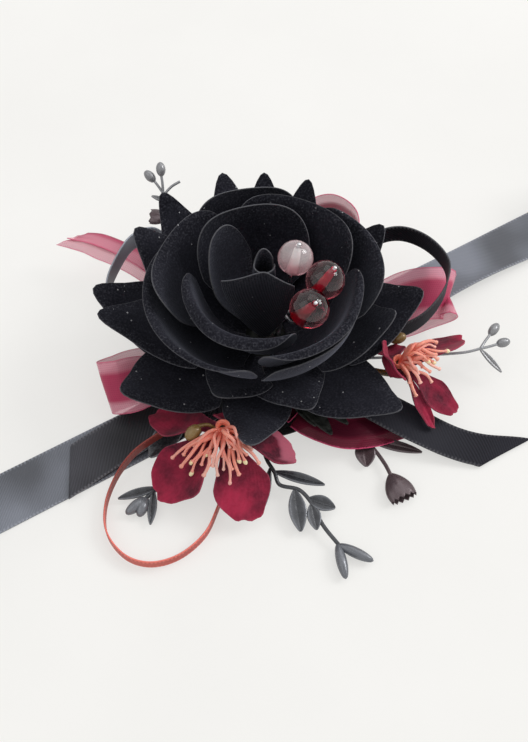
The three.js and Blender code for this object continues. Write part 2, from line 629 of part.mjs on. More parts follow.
const RIGHT_FOLD = [0.2, 0.88, 0.42];
add('organza_loop_right', ribbon([
  [polar(27, ROOT, 7), UP], [[29, 13.5, 9.4], RIGHT_FOLD], [[44, 18.6, 11.6], RIGHT_FOLD],
  [[53, 20, 9.6], RIGHT_FOLD], [[45, 18, 7.2], RIGHT_FOLD], [[29, 11.5, 5.8], RIGHT_FOLD],
  [polar(18, ROOT, 5.4), UP],
], ORGANZA_WIDTH, ORGANZA, { steps: 22, gather: [0.35, 0.3] }), 'organza');

const FRONT_LIE = [0.12, -0.98, -0.15];
add('organza_tail_front', ribbon([
  [polar(-70, ROOT, 5.2), [1, 0.3, 0]], [[9.5, -17, 6.2], [0.8, -0.5, 0]],
  [[15.6, -19.6, 5.6], FRONT_LIE], [[22, -21.6, 4.6], FRONT_LIE],
  [[29, -20.4, 3.6], FRONT_LIE], [[35.5, -17.6, 2.6], FRONT_LIE],
], ORGANZA_WIDTH - 3, ORGANZA, { steps: 16, gather: [0.4, 1], slant: 4 }), 'organza');

// Narrow loops: satin on edge at both sides, and a coral one on the table.

add('satin_loop_right', ribbon(upright([
  polar(43, ROOT, 6.4), [18, 20, 9], [26, 27.5, 15.5], [32, 31.6, 20.5], [39, 32.4, 22],
  [46.6, 28.8, 21.6], [51.5, 22.2, 20], [51, 16.5, 18], [47, 10.6, 15], [41, 7, 12],
  [28, 6.2, 7.6], polar(11, ROOT, 5.8),
]), LOOP_WIDTH, SATIN, { steps: 33 }), 'satin');

add('satin_loop_left', ribbon(upright([
  polar(127, ROOT, 6.4), [-16.5, 21, 9], [-25, 29, 15.5], [-31.6, 32.6, 21], [-37, 29, 22.5],
  [-41.2, 22, 21], [-43.4, 15.5, 18.5], [-42.4, 10.4, 15], [-37, 7.6, 11.4],
  [-27, 6.6, 8], polar(164, ROOT, 6),
]), LOOP_WIDTH, SATIN, { steps: 30 }), 'satin');

add('coral_loop', ribbon(upright([
  polar(-124, ROOT, 6.2), [-16, -16, 7.6], [-23.4, -22.6, 8], [-29, -25.8, 7], [-34.6, -29.6, 5.2],
  [-39, -35, 2.6], [-41.4, -43.4, 1.8], [-40.4, -51.3, 1.8], [-35.1, -57.7, 1.8], [-28.9, -59.6, 1.8],
  [-21.9, -57.7, 1.8], [-15.4, -51.8, 1.8], [-12.2, -44.4, 1.8], [-9.5, -34, 2], [-5.6, -24, 3.4],
  polar(-101, ROOT, 4.6),
]), CORAL_WIDTH, SATIN, { steps: 45 }), 'coral');

// Plastic sprigs: stems, leaves and buds moulded in one piece

const LEAF_THICKNESS = 0.5;
const LEAF_TIP = 0.1;           // share of a leaf's width left at its two ends

function leaf(from, to, width, face = vec(0, 0, 1)) {
  const along = to.clone().sub(from);
  const across = along.clone().cross(face).normalize().multiplyScalar(width);
  const breadth = (v) => lerp(LEAF_TIP, 1, Math.sin(Math.PI * v) ** 0.8);
  const point = (u, v) => from.clone().addScaledVector(along, v)
    .addScaledVector(across, (u - 0.5) * breadth(v));
  return sheet(grid(point, 2, 4), LEAF_THICKNESS);
}

function sprig(stems, leaves, buds, diameter = SPRIG_STEM) {
  const points = (list) => list.map((p) => (p.isVector3 ? p : vec(...p)));
  return fuse([
    ...stems.map((path) => rod(points(path), diameter / 2, 5, 2 * (path.length - 1))),
    ...leaves.map(([from, to, width]) => leaf(vec(...from), vec(...to), width)),
    ...buds.map(([from, to, radius]) => bud(vec(...from), vec(...to), radius)),
  ]);
}

const SPRIG_ROOT = BUNDLE_RADIUS + CLEARANCE + SPRIG_STEM / 2;

add('sprig_front', sprig(
  [[polar(-86, SPRIG_ROOT, 5), [0.6, -20, 5.4], [0.3, -30.3, 5.6], [2.8, -35, 4.6], [4, -38, 3.8],
    [9.2, -39.4, 3.4], [12.4, -43, 3], [15.2, -49, 2.4], [19.4, -54.6, 1.8]]],
  [[[2.6, -34.6, 4.6], [16, -38.2, 4], 3], [[11.4, -41.8, 3.1], [18.6, -44.2, 2.6], 4.2],
    [[12.4, -43, 3], [13.6, -50.4, 2.6], 3.6], [[8, -39.2, 3.4], [9.5, -50.7, 2.2], 4.6],
    [[1.6, -33.4, 4.8], [0, -43.9, 2.2], 2]],
  [[[18.8, -54, 1.9], [20.6, -63.4, 1.6], 1.3], [[19, -54.2, 1.9], [27.8, -58.6, 1.6], 1.3]],
), 'sprig');

add('sprig_left', sprig(
  [[polar(-135, SPRIG_ROOT, 4.6), [-16, -19.5, 3.4], [-22.4, -29, 2.6], [-28, -38, 2],
    [-31.4, -41.4, 1.8]]],
  [[[-28, -38, 2], [-38.4, -41.2, 1.9], 2.6], [[-29, -39, 2], [-29.5, -48.5, 1.6], 2.4]],
  [[[-30.8, -40.8, 1.9], [-32.6, -46.4, 1.8], 1.4], [[-31, -41, 1.9], [-36, -45.6, 1.8], 1.4]],
), 'sprig');

const TOP_FORK = [-29.1, 44.6, 25.4];
add('sprig_top', sprig(
  [[polar(111, SPRIG_ROOT, 5.6), [-12, 28, 9], [-20.5, 38.5, 14], [-28.3, 43.3, 22], [-29.2, 44.8, 26]],
    [[-29, 44.4, 25], [-26.6, 46.2, 26.6], [-24.2, 47.2, 27.6]],
    [TOP_FORK, [-30.4, 46, 26.8], [-31.8, 47.2, 28.2]], [TOP_FORK, [-29.2, 46.2, 27.6], [-29.5, 48, 29.6]]],
  [[[-28.6, 43.8, 23], [-32.5, 44.5, 24.5], 1.4]],
  [[[-31.4, 46.9, 27.8], [-34.2, 49, 30], 1.25], [[-29.4, 47.6, 29.2], [-29.8, 50.6, 32], 1.25]], TWIG,
), 'sprig');

const RIGHT_FORK = [60.8, 2.6, 7.6];
add('sprig_right', sprig(
  [[polar(-2, SPRIG_ROOT, 4.6), [30, 1.4, 4.6], [46, 1.2, 6.4], [56.6, 1.5, 7.4], [61.5, 2.8, 7.6]],
    [RIGHT_FORK, [62.4, 5, 7.8], [64.2, 7.4, 8]], [RIGHT_FORK, [63.4, 3.4, 7.4], [66, 4.4, 7.2]]],
  [[[60.6, 2.6, 7.6], [66.6, -3.4, 4.6], 1.7]],
  [[[63.8, 6.9, 8], [66.7, 10.8, 8], 1.25], [[65.6, 4.3, 7.2], [69.6, 5.6, 7], 1.25]], TWIG,
), 'sprig');

// The seed head is a flattened bell that lies open on the table, with two bracts on its stem.
const SEED_FOOT = [33.6, -33.8, 1.9];
const SEED_HEADING = -66;       // degrees from +X to the bell's mouth
const BELL_FLATTENED = 0.45;
const bellOutside = [[0.4, 0], [2.8, 0.4], [2.9, 4.6], [4, 8]];
const bellInside = [[4, 8], [2.6, 5.4], [2, 4], [0, 3.6]];

function bell(foot, heading) {
  const profile = [[0, 0]];
  [0, 0.25, 0.5, 0.75].forEach((s) => profile.push(bezier(bellOutside, s)));
  [0, 0.4, 0.7, 1].forEach((s) => profile.push(bezier(bellInside, s)));
  const geometry = lathe(profile, 14);
  geometry.scale(1, BELL_FLATTENED, 1);
  const mouth = vec(Math.cos(rad(heading)), Math.sin(rad(heading)), 0);
  const upward = vec(0, 0, 1);
  geometry.applyMatrix4(new THREE.Matrix4().makeBasis(upward.clone().cross(mouth), upward, mouth));
  return geometry.translate(...foot);
}

add('seed_head', fuse([
  sprig([[polar(-53, SPRIG_ROOT, 4), [18, -16, 1.9], [28, -24, 1.6], [32.2, -30.4, 1.7],
    [33.8, -34.4, 1.9]]],
    [[[27.2, -23.4, 1.65], [27.5, -31.4, 1.3], 5.5], [[30, -26.6, 1.65], [44.5, -27, 1.3], 3.2]], []),
  bell(SEED_FOOT, SEED_HEADING),
]), 'sprig');

add('dark_leaf', sprig(
  [[polar(-147, SPRIG_ROOT, 5.2), [-17, -12.5, 5], [-23, -19, 4.4]]],
  [[[-22, -17.8, 4.5], [-30.6, -29.6, 3.2], 7]], [],
), 'sprig');

export default corsage;
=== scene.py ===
# %% [markdown]
# # A tie-on wrist corsage
# A black velvet rose with three glass beads, two burgundy blossoms, loops of
# sheer and satin ribbon and dark plastic sprigs, all bound into one bundle on
# a satin ribbon that ties round the wrist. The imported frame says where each
# piece is and what moves. This file gives every piece its cloth, glass or
# plastic, worked out as surfaces in millimetres and put into Blender in metres.

import bmesh
import bpy
import numpy as np
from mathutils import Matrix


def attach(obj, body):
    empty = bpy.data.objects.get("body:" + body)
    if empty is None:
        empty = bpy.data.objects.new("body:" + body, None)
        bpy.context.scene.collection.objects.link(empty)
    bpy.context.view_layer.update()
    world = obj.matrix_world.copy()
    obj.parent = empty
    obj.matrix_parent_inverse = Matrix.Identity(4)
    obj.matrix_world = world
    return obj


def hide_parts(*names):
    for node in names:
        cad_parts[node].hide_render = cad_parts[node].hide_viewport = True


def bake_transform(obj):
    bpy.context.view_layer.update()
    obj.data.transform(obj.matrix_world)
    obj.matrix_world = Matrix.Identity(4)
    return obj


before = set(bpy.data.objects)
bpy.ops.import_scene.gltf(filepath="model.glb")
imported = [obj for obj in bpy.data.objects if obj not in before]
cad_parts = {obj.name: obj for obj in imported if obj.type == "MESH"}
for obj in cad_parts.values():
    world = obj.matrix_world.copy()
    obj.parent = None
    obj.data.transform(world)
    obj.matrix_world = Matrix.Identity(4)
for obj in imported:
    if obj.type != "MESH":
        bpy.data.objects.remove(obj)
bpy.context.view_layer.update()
MM = 0.001

# %% [markdown]
# The camera stands straight in front of the corsage, 57 degrees above the
# table. It is close, so that the rose, which stands higher than the ribbon,
# looks a little larger than it would from far away.

# %% Camera
PHOTO_HEIGHT = 742
FOCAL_PIXELS = 1050
CAMERA_DISTANCE = 0.300
CAMERA_ELEVATION = np.radians(57)
scene = bpy.context.scene
lens = bpy.data.cameras.new("camera")
lens.sensor_width = 36
lens.lens = lens.sensor_width * FOCAL_PIXELS / PHOTO_HEIGHT
lens.clip_start = 0.01
camera = bpy.data.objects.new("camera", lens)
camera.location = (0, -CAMERA_DISTANCE * np.cos(CAMERA_ELEVATION),
                   CAMERA_DISTANCE * np.sin(CAMERA_ELEVATION))
camera.rotation_euler = (np.pi / 2 - CAMERA_ELEVATION, 0, 0)
scene.collection.objects.link(camera)
scene.camera = camera
scene.view_settings.view_transform = "Standard"
print("camera lens", round(lens.lens, 2), "mm")

# %% [markdown]
# Every surface here is a grid of points. A grid turns into a mesh part with
# its quads, a UV map that holds real lengths in millimetres, so that a weave
# keeps its scale, and marks, which are one number per point for the materials.
# Parts are joined, and points that fall on each other are welded, which closes
# the seams of tubes and the rims of cloth.

# %% Grids become mesh parts
WELD_WITHIN = 3e-7


def unit(vectors):
    """Each vector divided by its length."""
    return vectors / (np.linalg.norm(vectors, axis=-1, keepdims=True) + 1e-12)


def ease(count):
    """Values from 0 to 1 that lie closer together near both ends: half of one minus the cosine."""
    return 0.5 - 0.5 * np.cos(np.pi * np.linspace(0, 1, count))


def smoothstep(value, low, high):
    """0 below low, 1 above high, and 3x squared minus 2x cubed between."""
    x = np.clip((value - low) / (high - low), 0, 1)
    return x * x * (3 - 2 * x)


def run_length(grid, axis):
    """The length run so far along one axis of a grid."""
    step = np.linalg.norm(np.diff(grid, axis=axis), axis=-1)
    return np.insert(np.cumsum(step, axis=axis), 0, 0, axis=axis)


def part(grid, **marks):
    """A grid of points (rows, columns, 3) with its quads, its UV map of lengths and its marks."""
    rows, columns = grid.shape[:2]
    index = np.arange(rows * columns).reshape(rows, columns)
    faces = np.stack([index[:-1, :-1], index[:-1, 1:], index[1:, 1:], index[1:, :-1]], -1)
    uv = np.stack([run_length(grid, 1), run_length(grid, 0)], -1)
    spread = {name: np.broadcast_to(value, (rows, columns)).ravel() for name, value in marks.items()}
    return {"points": grid.reshape(-1, 3), "faces": faces.reshape(-1, 4),
            "uv": uv.reshape(-1, 2), "marks": spread}


def grid_normals(grid, closed=False):
    """The unit cross product of the steps across and along; a closed grid wraps round its columns."""
    wide = np.concatenate([grid[:, -2:-1], grid, grid[:, 1:2]], 1) if closed else grid
    across = np.gradient(wide, axis=1)
    across = across[:, 1:-1] if closed else across
    return unit(np.cross(across, np.gradient(grid, axis=0)))


def cloth(grid, thickness, closed=False, **marks):
    """Parts of a sheet of even thickness: the grid moved half the thickness to both sides along its
    normals, and strips that close the rim. The mark back is 0 on the front face and 1 on the other."""
    shift = grid_normals(grid, closed) * thickness / 2
    front, back = grid + shift, grid - shift
    shape = grid.shape[:2]
    marks = {name: np.broadcast_to(value, shape) for name, value in marks.items()}
    parts = [part(front, back=0.0, **marks), part(back, back=1.0, **marks)]
    parts[1]["faces"] = parts[1]["faces"][:, ::-1]
    rims = [np.s_[0, :], np.s_[-1, ::-1]]
    rims += [] if closed else [np.s_[:, -1], np.s_[::-1, 0]]
    for cut in rims:
        twice = {name: np.stack([value[cut], value[cut]]) for name, value in marks.items()}
        parts.append(part(np.stack([back[cut], front[cut]]), back=0.5, **twice))
    return parts


def join(parts):
    """Parts one after another as one part; a mark that a part lacks is 0 there."""
    starts = np.cumsum([0] + [len(p["points"]) for p in parts[:-1]])
    names = sorted({name for p in parts for name in p["marks"]})
    marks = {name: np.concatenate([p["marks"].get(name, np.zeros(len(p["points"]))) for p in parts])
             for name in names}
    faces = np.concatenate([p["faces"] + start for p, start in zip(parts, starts)])
    points, uv = (np.concatenate([p[key] for p in parts]) for key in ("points", "uv"))
    return {"points": points, "faces": faces, "uv": uv, "marks": marks}


def new_object(name, parts, material):
    """A mesh object in metres at the origin, with smooth faces, welded points, a UV map and marks."""
    whole = join(parts)
    mesh = bpy.data.meshes.new(name)
    mesh.from_pydata((whole["points"] * MM).tolist(), [], whole["faces"].tolist())
    mesh.uv_layers.new(name="lengths").data.foreach_set("uv", whole["uv"][whole["faces"].ravel()].ravel())
    for label, values in whole["marks"].items():
        mesh.attributes.new(label, "FLOAT", "POINT").data.foreach_set("value", values.astype(np.float32))
    welded = bmesh.new()
    welded.from_mesh(mesh)
    bmesh.ops.remove_doubles(welded, verts=welded.verts, dist=WELD_WITHIN)
    welded.to_mesh(mesh)
    welded.free()
    mesh.polygons.foreach_set("use_smooth", np.ones(len(mesh.polygons), bool))
    mesh.materials.append(material)
    made = bpy.data.objects.new(name, mesh)
    scene.collection.objects.link(made)
    return made


def dress(node, name, parts, material, body="corsage"):
    """A piece that stands for a CAD node and takes the finish it is given. It rides on a body, unless it
    gets none."""
    made = new_object(name, parts, material)
    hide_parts(node)
    if body:
        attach(made, body)
    return made


# %% [markdown]
# Three more shapes come back again and again: a smooth path through a few
# stations, a round tube along a path, and a profile turned about an axis.

# %% Paths, tubes and turned shapes
def smooth_path(stations, count):
    """Points and unit tangents of a centripetal Catmull-Rom curve: every span between two stations is
    a cubic, and its end slopes weigh the neighbouring chords by the square roots of their lengths."""
    p = np.asarray(stations, float)
    p = np.vstack([2 * p[0] - p[1], p, 2 * p[-1] - p[-2]])
    place = np.linspace(0, len(p) - 3, count)
    span = np.minimum(place.astype(int), len(p) - 4)
    w = (place - span)[:, None]
    knot = np.sqrt(np.linalg.norm(np.diff(p, axis=0), axis=1))[:, None]
    before, own, after = knot[span], knot[span + 1], knot[span + 2]
    a, b, c, d = (p[span + i] for i in range(4))
    m = own * ((b - a) / before - (c - a) / (before + own) + (c - b) / own)
    n = own * ((c - b) / own - (d - b) / (own + after) + (d - c) / after)
    bend, twist = 3 * (c - b) - 2 * m - n, 2 * (b - c) + m + n
    return b + w * m + w**2 * bend + w**3 * twist, unit(m + 2 * w * bend + 3 * w**2 * twist)


def tube(path, radius, sides=10, **marks):
    """A round tube: rings about the path's points, in the plane across it. Its ends close to a point."""
    path = np.asarray(path, float)
    tangent = unit(np.gradient(path, axis=0))
    side = np.eye(3)[np.argmin(np.abs(tangent).mean(0))]
    side = unit(side - (tangent @ side)[:, None] * tangent)
    other = np.cross(tangent, side)
    turn = np.linspace(0, 2 * np.pi, sides + 1)[None, :, None]
    ring = side[:, None] * np.cos(turn) + other[:, None] * np.sin(turn)
    grid = path[:, None] + ring * np.broadcast_to(radius, len(path))[:, None, None]
    ends = [np.repeat(path[i][None, None], sides + 1, 1) for i in (0, -1)]
    share = np.linspace(0, 1, len(path) + 2)[:, None]
    return part(np.concatenate([ends[0], grid, ends[1]]), along=share, **marks)


def turned(profile, segments=48):
    """A profile of radius and height pairs turned about the vertical axis."""
    profile = np.asarray(profile, float)
    turn = np.linspace(0, 2 * np.pi, segments + 1)
    r, z = profile[:, :1], profile[:, 1:]
    return np.stack([r * np.cos(turn), r * np.sin(turn), z + 0 * turn], -1)


def stand(grid, centre, axis):
    """Turns a grid's vertical axis to another axis and moves it to a centre."""
    up = unit(np.asarray(axis, float))
    side = unit(np.cross([0.0, 1.0, 0.0], up))
    return grid @ np.stack([side, np.cross(up, side), up]) + np.asarray(centre, float)


def bezier(points, s):
    """The Bezier curve of radius and height pairs at s, by repeated mixing of neighbours."""
    level = [np.asarray(p, float) for p in points]
    s = s[..., None]
    while len(level) > 1:
        level = [a + (b - a) * s for a, b in zip(level, level[1:])]
    return level[0][..., 0], level[0][..., 1]


# %% [markdown]
# The main sizes are those of the frame: the felt, the ribbons and the nested
# layers of petals. The rose stands a little behind the felt's middle.

# %% Sizes shared with the frame
SATIN = 0.45
ORGANZA = 0.25
VELVET = 0.32
BLOSSOM_CLOTH = 0.45
CLEARANCE = 0.3
FELT_RADIUS = 22
FELT_THICKNESS = 1.5
RIBBON_WIDTH = 16
RIBBON_TURN = np.radians(31)
ROSE_AXIS = np.array([0.0, 2.0])
BUNDLE_RADIUS = 13
BUNDLE_FOOT = FELT_THICKNESS + SATIN + 2 * CLEARANCE
BUNDLE_TOP = BUNDLE_FOOT + 7
RECEPTACLE_FOOT = BUNDLE_TOP + CLEARANCE
RECEPTACLE_POINT = RECEPTACLE_FOOT + 9.4
FIRST_LAYER = 1.5
LAYER_PITCH = 0.9
CONE_SLOPE = 0.7 / LAYER_PITCH
PETAL_SEAT = 0.6
ROOT = BUNDLE_RADIUS + CLEARANCE + SATIN / 2
UP = (0, 0, 1)
OUT = np.array([np.cos(RIBBON_TURN), np.sin(RIBBON_TURN), 0])
ACROSS = np.array([-np.sin(RIBBON_TURN), np.cos(RIBBON_TURN), 0])


def polar(degrees, radius, height):
    """A point at an angle and a distance from the rose's axis."""
    turn = np.radians(degrees)
    return (ROSE_AXIS[0] + radius * np.cos(turn), ROSE_AXIS[1] + radius * np.sin(turn), height)


def cone_height(radius):
    """The height of the receptacle's cone at a distance from the rose's axis."""
    return RECEPTACLE_POINT - CONE_SLOPE * radius


print("wrist ribbon", RIBBON_WIDTH, "mm wide, bundle", 2 * BUNDLE_RADIUS, "mm across")

# %% [markdown]
# Materials are node trees. A small class adds nodes to a tree, sets their
# properties and feeds their inputs with sockets or constants. Effects that
# several finishes share are node groups: parallel threads of a weave, slow
# mottling, the frayed light line of a cut edge and specks of lint.

# %% Node helpers
class Nodes:
    """A node tree and the nodes that are added to it; what goes into a node is a socket or a constant."""

    def __init__(self, tree):
        self.tree = tree

    def feed(self, socket, value):
        """Links an input to another socket, or sets it to a constant."""
        if isinstance(value, bpy.types.NodeSocket):
            self.tree.links.new(value, socket)
        else:
            socket.default_value = value

    def connect(self, node, **inputs):
        """Feeds some inputs of a node, which are named with underscores."""
        for label, value in inputs.items():
            self.feed(node.inputs[label.replace("_", " ").title()], value)

    def add(self, kind, inputs=None, **settings):
        """A node with its settings and its inputs, which go by name or number."""
        made = self.tree.nodes.new("ShaderNode" + kind)
        for name, value in settings.items():
            setattr(made, name, value)
        for name, value in (inputs or {}).items():
            self.feed(made.inputs[name], value)
        return made

    def math(self, operation, *values, clamp=False):
        """A Math node on up to three values."""
        return self.add("Math", dict(enumerate(values)), operation=operation, use_clamp=clamp).outputs[0]

    def times(self, product, *factors):
        """The product of two or more values."""
        for factor in factors:
            product = self.math("MULTIPLY", product, factor)
        return product

    def mix(self, share, one, other):
        """A colour between one and other, which are sockets or red, green and blue."""
        made = self.add("Mix", {0: share}, data_type="RGBA")
        for index, tone in ((6, one), (7, other)):
            self.feed(made.inputs[index], (*tone, 1) if isinstance(tone, tuple) else tone)
        return made.outputs[2]

    def mark(self, name):
        """The number that the mesh's points carry under a name."""
        return self.add("Attribute", attribute_name=name).outputs["Fac"]

    def own_place(self):
        """The coordinates of the piece itself."""
        return self.add("TexCoord").outputs["Object"]

    def bump(self, height, depth, strength=1.0):
        """A normal from a height of 0 to 1 that stands for a depth in millimetres."""
        return self.add("Bump", {"Strength": strength, "Distance": depth * MM, "Height": height}).outputs[0]

    def use(self, group, **inputs):
        """The output of a shared group."""
        made = self.add("Group", node_tree=group)
        self.connect(made, **inputs)
        return made.outputs[0]


def new_group(name, inputs, output):
    """A shader node group with named inputs and one output; gives its nodes, inputs and output."""
    tree = bpy.data.node_groups.new(name, "ShaderNodeTree")
    for label, default in inputs.items():
        kind = "NodeSocketVector" if default is None else "NodeSocketFloat"
        socket = tree.interface.new_socket(name=label, in_out="INPUT", socket_type=kind)
        if default is not None:
            socket.default_value = default
    tree.interface.new_socket(name=output, in_out="OUTPUT", socket_type="NodeSocketFloat")
    given, out = tree.nodes.new("NodeGroupInput").outputs, tree.nodes.new("NodeGroupOutput").inputs[output]
    return Nodes(tree), given, out


# %% Shared groups
NOISE_LOW, NOISE_HIGH = 0.3, 0.7
FRAY_SCALE = 1500.0


def make_threads():
    """Height of parallel threads: half plus half the sine of the turns per millimetre across and along."""
    n, given, out = new_group("threads", {"Lengths": None, "Across": 2.0, "Along": 0.0}, "Height")
    split = n.add("SeparateXYZ", {0: given["Lengths"]}).outputs
    turns = n.math("MULTIPLY_ADD", split[1], given["Along"], n.times(split[0], given["Across"]))
    wave = n.math("SINE", n.times(turns, 2 * np.pi))
    n.feed(out, n.math("MULTIPLY_ADD", wave, 0.5, 0.5))
    return n.tree


def make_mottle():
    """Slow noise in the piece's own coordinates, stretched between two values."""
    n, given, out = new_group("mottle", {"Scale": 100.0, "Detail": 3.0, "Low": 0.0, "High": 1.0}, "Value")
    noise = n.add("TexNoise", {"Vector": n.own_place(), "Scale": given["Scale"], "Detail": given["Detail"]})
    spread = n.add("MapRange", {"Value": noise.outputs["Fac"], "From Min": NOISE_LOW, "From Max": NOISE_HIGH,
                                "To Min": given["Low"], "To Max": given["High"]})
    n.feed(out, spread.outputs[0])
    return n.tree


def make_cut_edge():
    """1 on a cut edge, falling to 0 over a width in millimetres that a fine noise frays."""
    n, given, out = new_group("cut edge", {"Distance": 0.0, "Width": 0.5}, "Mask")
    noise = n.add("TexNoise", {"Vector": n.own_place(), "Scale": FRAY_SCALE, "Detail": 2.0})
    frayed = n.times(noise.outputs["Fac"], 2.0, given["Width"])
    n.feed(out, n.math("SUBTRACT", 1.0, n.math("DIVIDE", given["Distance"], frayed), clamp=True))
    return n.tree


def make_lint():
    """Small round specks: cells of a Voronoi pattern, of which only a share keeps a speck at its middle."""
    n, given, out = new_group("lint", {"Cell Scale": 300.0, "Share": 0.4, "Size": 0.07}, "Mask")
    cells = n.add("TexVoronoi", {"Vector": n.own_place(), "Scale": given["Cell Scale"]}).outputs
    chance = n.add("SeparateColor", {0: cells["Color"]}).outputs[0]
    kept = n.math("LESS_THAN", chance, given["Share"])
    n.feed(out, n.times(kept, n.math("LESS_THAN", cells["Distance"], given["Size"])))
    return n.tree


THREADS, MOTTLE, CUT_EDGE, LINT = make_threads(), make_mottle(), make_cut_edge(), make_lint()


class Finish(Nodes):
    """A new material with one Principled shader, its constants set straight on the sockets."""

    def __init__(self, name, constants):
        self.material = bpy.data.materials.new(name)
        self.material.use_nodes = True
        super().__init__(self.material.node_tree)
        self.shader = self.tree.nodes["Principled BSDF"]
        for label, value in constants.items():
            self.shader.inputs[label].default_value = value

    def mottle(self, scale, detail=3.0, low=0.0, high=1.0):
        """Slow noise between two values."""
        return self.use(MOTTLE, scale=scale, detail=detail, low=low, high=high)

    def threads(self, across=0.0, along=0.0):
        """Threads with so many turns per millimetre of the UV map, which holds lengths."""
        cloth_map = self.add("UVMap", uv_map="lengths").outputs[0]
        return self.use(THREADS, lengths=cloth_map, across=across, along=along)

    def cut_edge(self, width):
        """1 on the cut edge, falling to 0 over a width in millimetres."""
        return self.use(CUT_EDGE, distance=self.mark("edge"), width=width)

    def lint(self, cell_scale, share, size):
        """Specks in a share of the cells."""
        return self.use(LINT, cell_scale=cell_scale, share=share, size=size)

    def done(self, **inputs):
        """Connects the shader and gives the material."""
        self.connect(self.shader, **inputs)
        return self.material


print("groups:", [group.name for group in (THREADS, MOTTLE, CUT_EDGE, LINT)])

# %% [markdown]
# The floor is plain and pale, and the light is soft: a bright even sky, a large
# lamp high behind the rose, another on the left, and a smaller and stronger
# window on the right, which the glass beads mirror. Together they light a white
# card to about its own colour. The sky is a little paler where it is seen or
# mirrored than as a light, and the floor keeps only part of its shadows.

# %% Floor and light
FLOOR_GLOW = 0.65
FLOOR_DROP = 0.15
FLOOR_HALF = 1500.0
SKY_LIGHT, SKY_SEEN = 0.6, 0.86
LAMP_AIM = np.array([0, 0, 0.02])
LAMPS = {
    "key_lamp": ((0.45, 0.75, 1.4), 1.3, 5.5),
    "fill_lamp": ((-1.0, -0.36, 1.5), 1.5, 4.5),
    "window": ((1.25, 0.38, 1.0), 0.65, 12.0),
}


def seen_directly(n):
    """1 for what the camera sees, also in glass and on glossy faces, and 0 for light that is passed on."""
    ray = n.add("LightPath").outputs
    mirrored = n.math("MAXIMUM", ray["Is Glossy Ray"], ray["Is Transmission Ray"])
    return n.math("MAXIMUM", ray["Is Camera Ray"], mirrored)


def pale_floor():
    """A pale board that keeps only part of its shadows where it is seen: the rest of it glows evenly."""
    n = Finish("pale_floor", {"Roughness": 0.7, "Specular IOR Level": 0.2})
    tone = n.mix(n.mottle(14.0, detail=5.0), (0.87, 0.863, 0.84), (0.9, 0.893, 0.87))
    even = n.times(seen_directly(n), FLOOR_GLOW)
    return n.done(Base_Color=n.mix(even, tone, (0, 0, 0)), Emission_Color=tone,
                  Emission_Strength=even)


u, v = np.meshgrid(np.linspace(-1, 1, 9), np.linspace(-1, 1, 9))
corners = np.stack([FLOOR_HALF * u, FLOOR_HALF * v, 0 * u - FLOOR_DROP], -1)
floor = new_object("floor", [part(corners)], pale_floor())

sky = bpy.data.worlds.new("soft_sky")
sky.use_nodes = True
n = Nodes(sky.node_tree)
level = n.math("MULTIPLY_ADD", seen_directly(n), SKY_SEEN - SKY_LIGHT, SKY_LIGHT)
n.connect(n.tree.nodes["Background"], Color=(1, 0.995, 0.985, 1), Strength=level)
scene.world = sky

for name, (place, side, power) in LAMPS.items():
    lamp = bpy.data.lights.new(name, "AREA")
    lamp.size, lamp.energy = side, power
    holder = bpy.data.objects.new(name, lamp)
    holder.location = place
    aim = LAMP_AIM - place
    holder.rotation_euler = (np.arctan2(np.hypot(aim[0], aim[1]), -aim[2]), 0, np.arctan2(-aim[0], aim[1]))
    scene.collection.objects.link(holder)
print("lamps:", list(LAMPS))

# %% [markdown]
# The ribbons are satin. The wrist ribbon shows its smooth face, which throws
# back a grey-blue sheen: partly the shader's gloss and partly painted sheen in
# its colour. The cut tails show the duller twill face, with fine slanting lines
# and a ladder of stitches along both woven edges.

# %% Satin finishes
def satin(name, deep, pale, roughness, twill, gloss, lines=0.25):
    """Satin in a deep and a pale tone: slow bands of painted sheen, fine slanting lines with so many turns
    of twill per millimetre, and a ladder of threads beside its edges. The mark dim takes it into shade."""
    n = Finish(name, {
        "Sheen Weight": 0.2 * gloss, "Sheen Roughness": 0.4, "Specular IOR Level": gloss})
    slant = n.threads(across=twill, along=twill)
    rungs = n.threads(along=0.95)
    near = n.cut_edge(0.8)
    # Painted sheen: slow bands lighten and darken the tone along the ribbon.
    slow = n.mottle(38.0, detail=1.5, low=-0.35, high=1.15)
    tone = n.mix(n.math("MULTIPLY_ADD", slant, lines, slow, clamp=True), deep, pale)
    ladder = n.times(near, rungs, 0.8)
    tone = n.mix(ladder, tone, tuple(min(1, 1.5 * c + 0.09) for c in pale))
    tone = n.mix(n.mark("dim"), tone, tuple(0.45 * c for c in deep))
    worn = n.math("MULTIPLY_ADD", slant, 0.1, roughness)
    relief = n.math("ADD", slant, n.times(ladder, 2.0))
    return n.done(Base_Color=tone, Roughness=worn, Normal=n.bump(relief, 0.03))


# The black face is painted grey-blue: painted sheen.
SATIN_FACE_PAINTED_SHEEN = satin("satin_face_painted_sheen", (0.065, 0.07, 0.085), (0.19, 0.205, 0.245),
                   roughness=0.36, twill=1.1, gloss=0.55)
SATIN_TWILL = satin("satin_twill", (0.003, 0.003, 0.005), (0.02, 0.02, 0.027),
                    roughness=0.55, twill=0.9, gloss=0.1, lines=0.8)
# A lighter and glossier copy of the twill for the left tail: painted sheen.
SATIN_OVER_PAINTED_SHEEN = satin("satin_over_painted_sheen", (0.008, 0.008, 0.011), (0.075, 0.075, 0.09),
                   roughness=0.45, twill=0.9, gloss=0.3, lines=0.3)
SATIN_CORAL = satin("satin_coral", (0.42, 0.05, 0.038), (0.64, 0.12, 0.085),
                    roughness=0.45, twill=1.3, gloss=0.35)
print("satin: face, twill, over and coral")

# %% [markdown]
# Ribbons are strips along a path of stations. Where one is bound into the
# bundle it is gathered, so its width shrinks and small pleats stand up. The
# three narrow loops, two of black satin and one of coral, stand on edge and go
# from the bundle out and back to it. The length of each is printed, because
# it decides how far they reach.

# %% A ribbon along stations
GATHER_REACH = 0.3
PLEATS = 3.5
PLEAT_HEIGHT = 0.9
UNDER_SHARE, UPPER_SHARE = 1.1, 2.0
FOLD_ROUNDING = 0.004


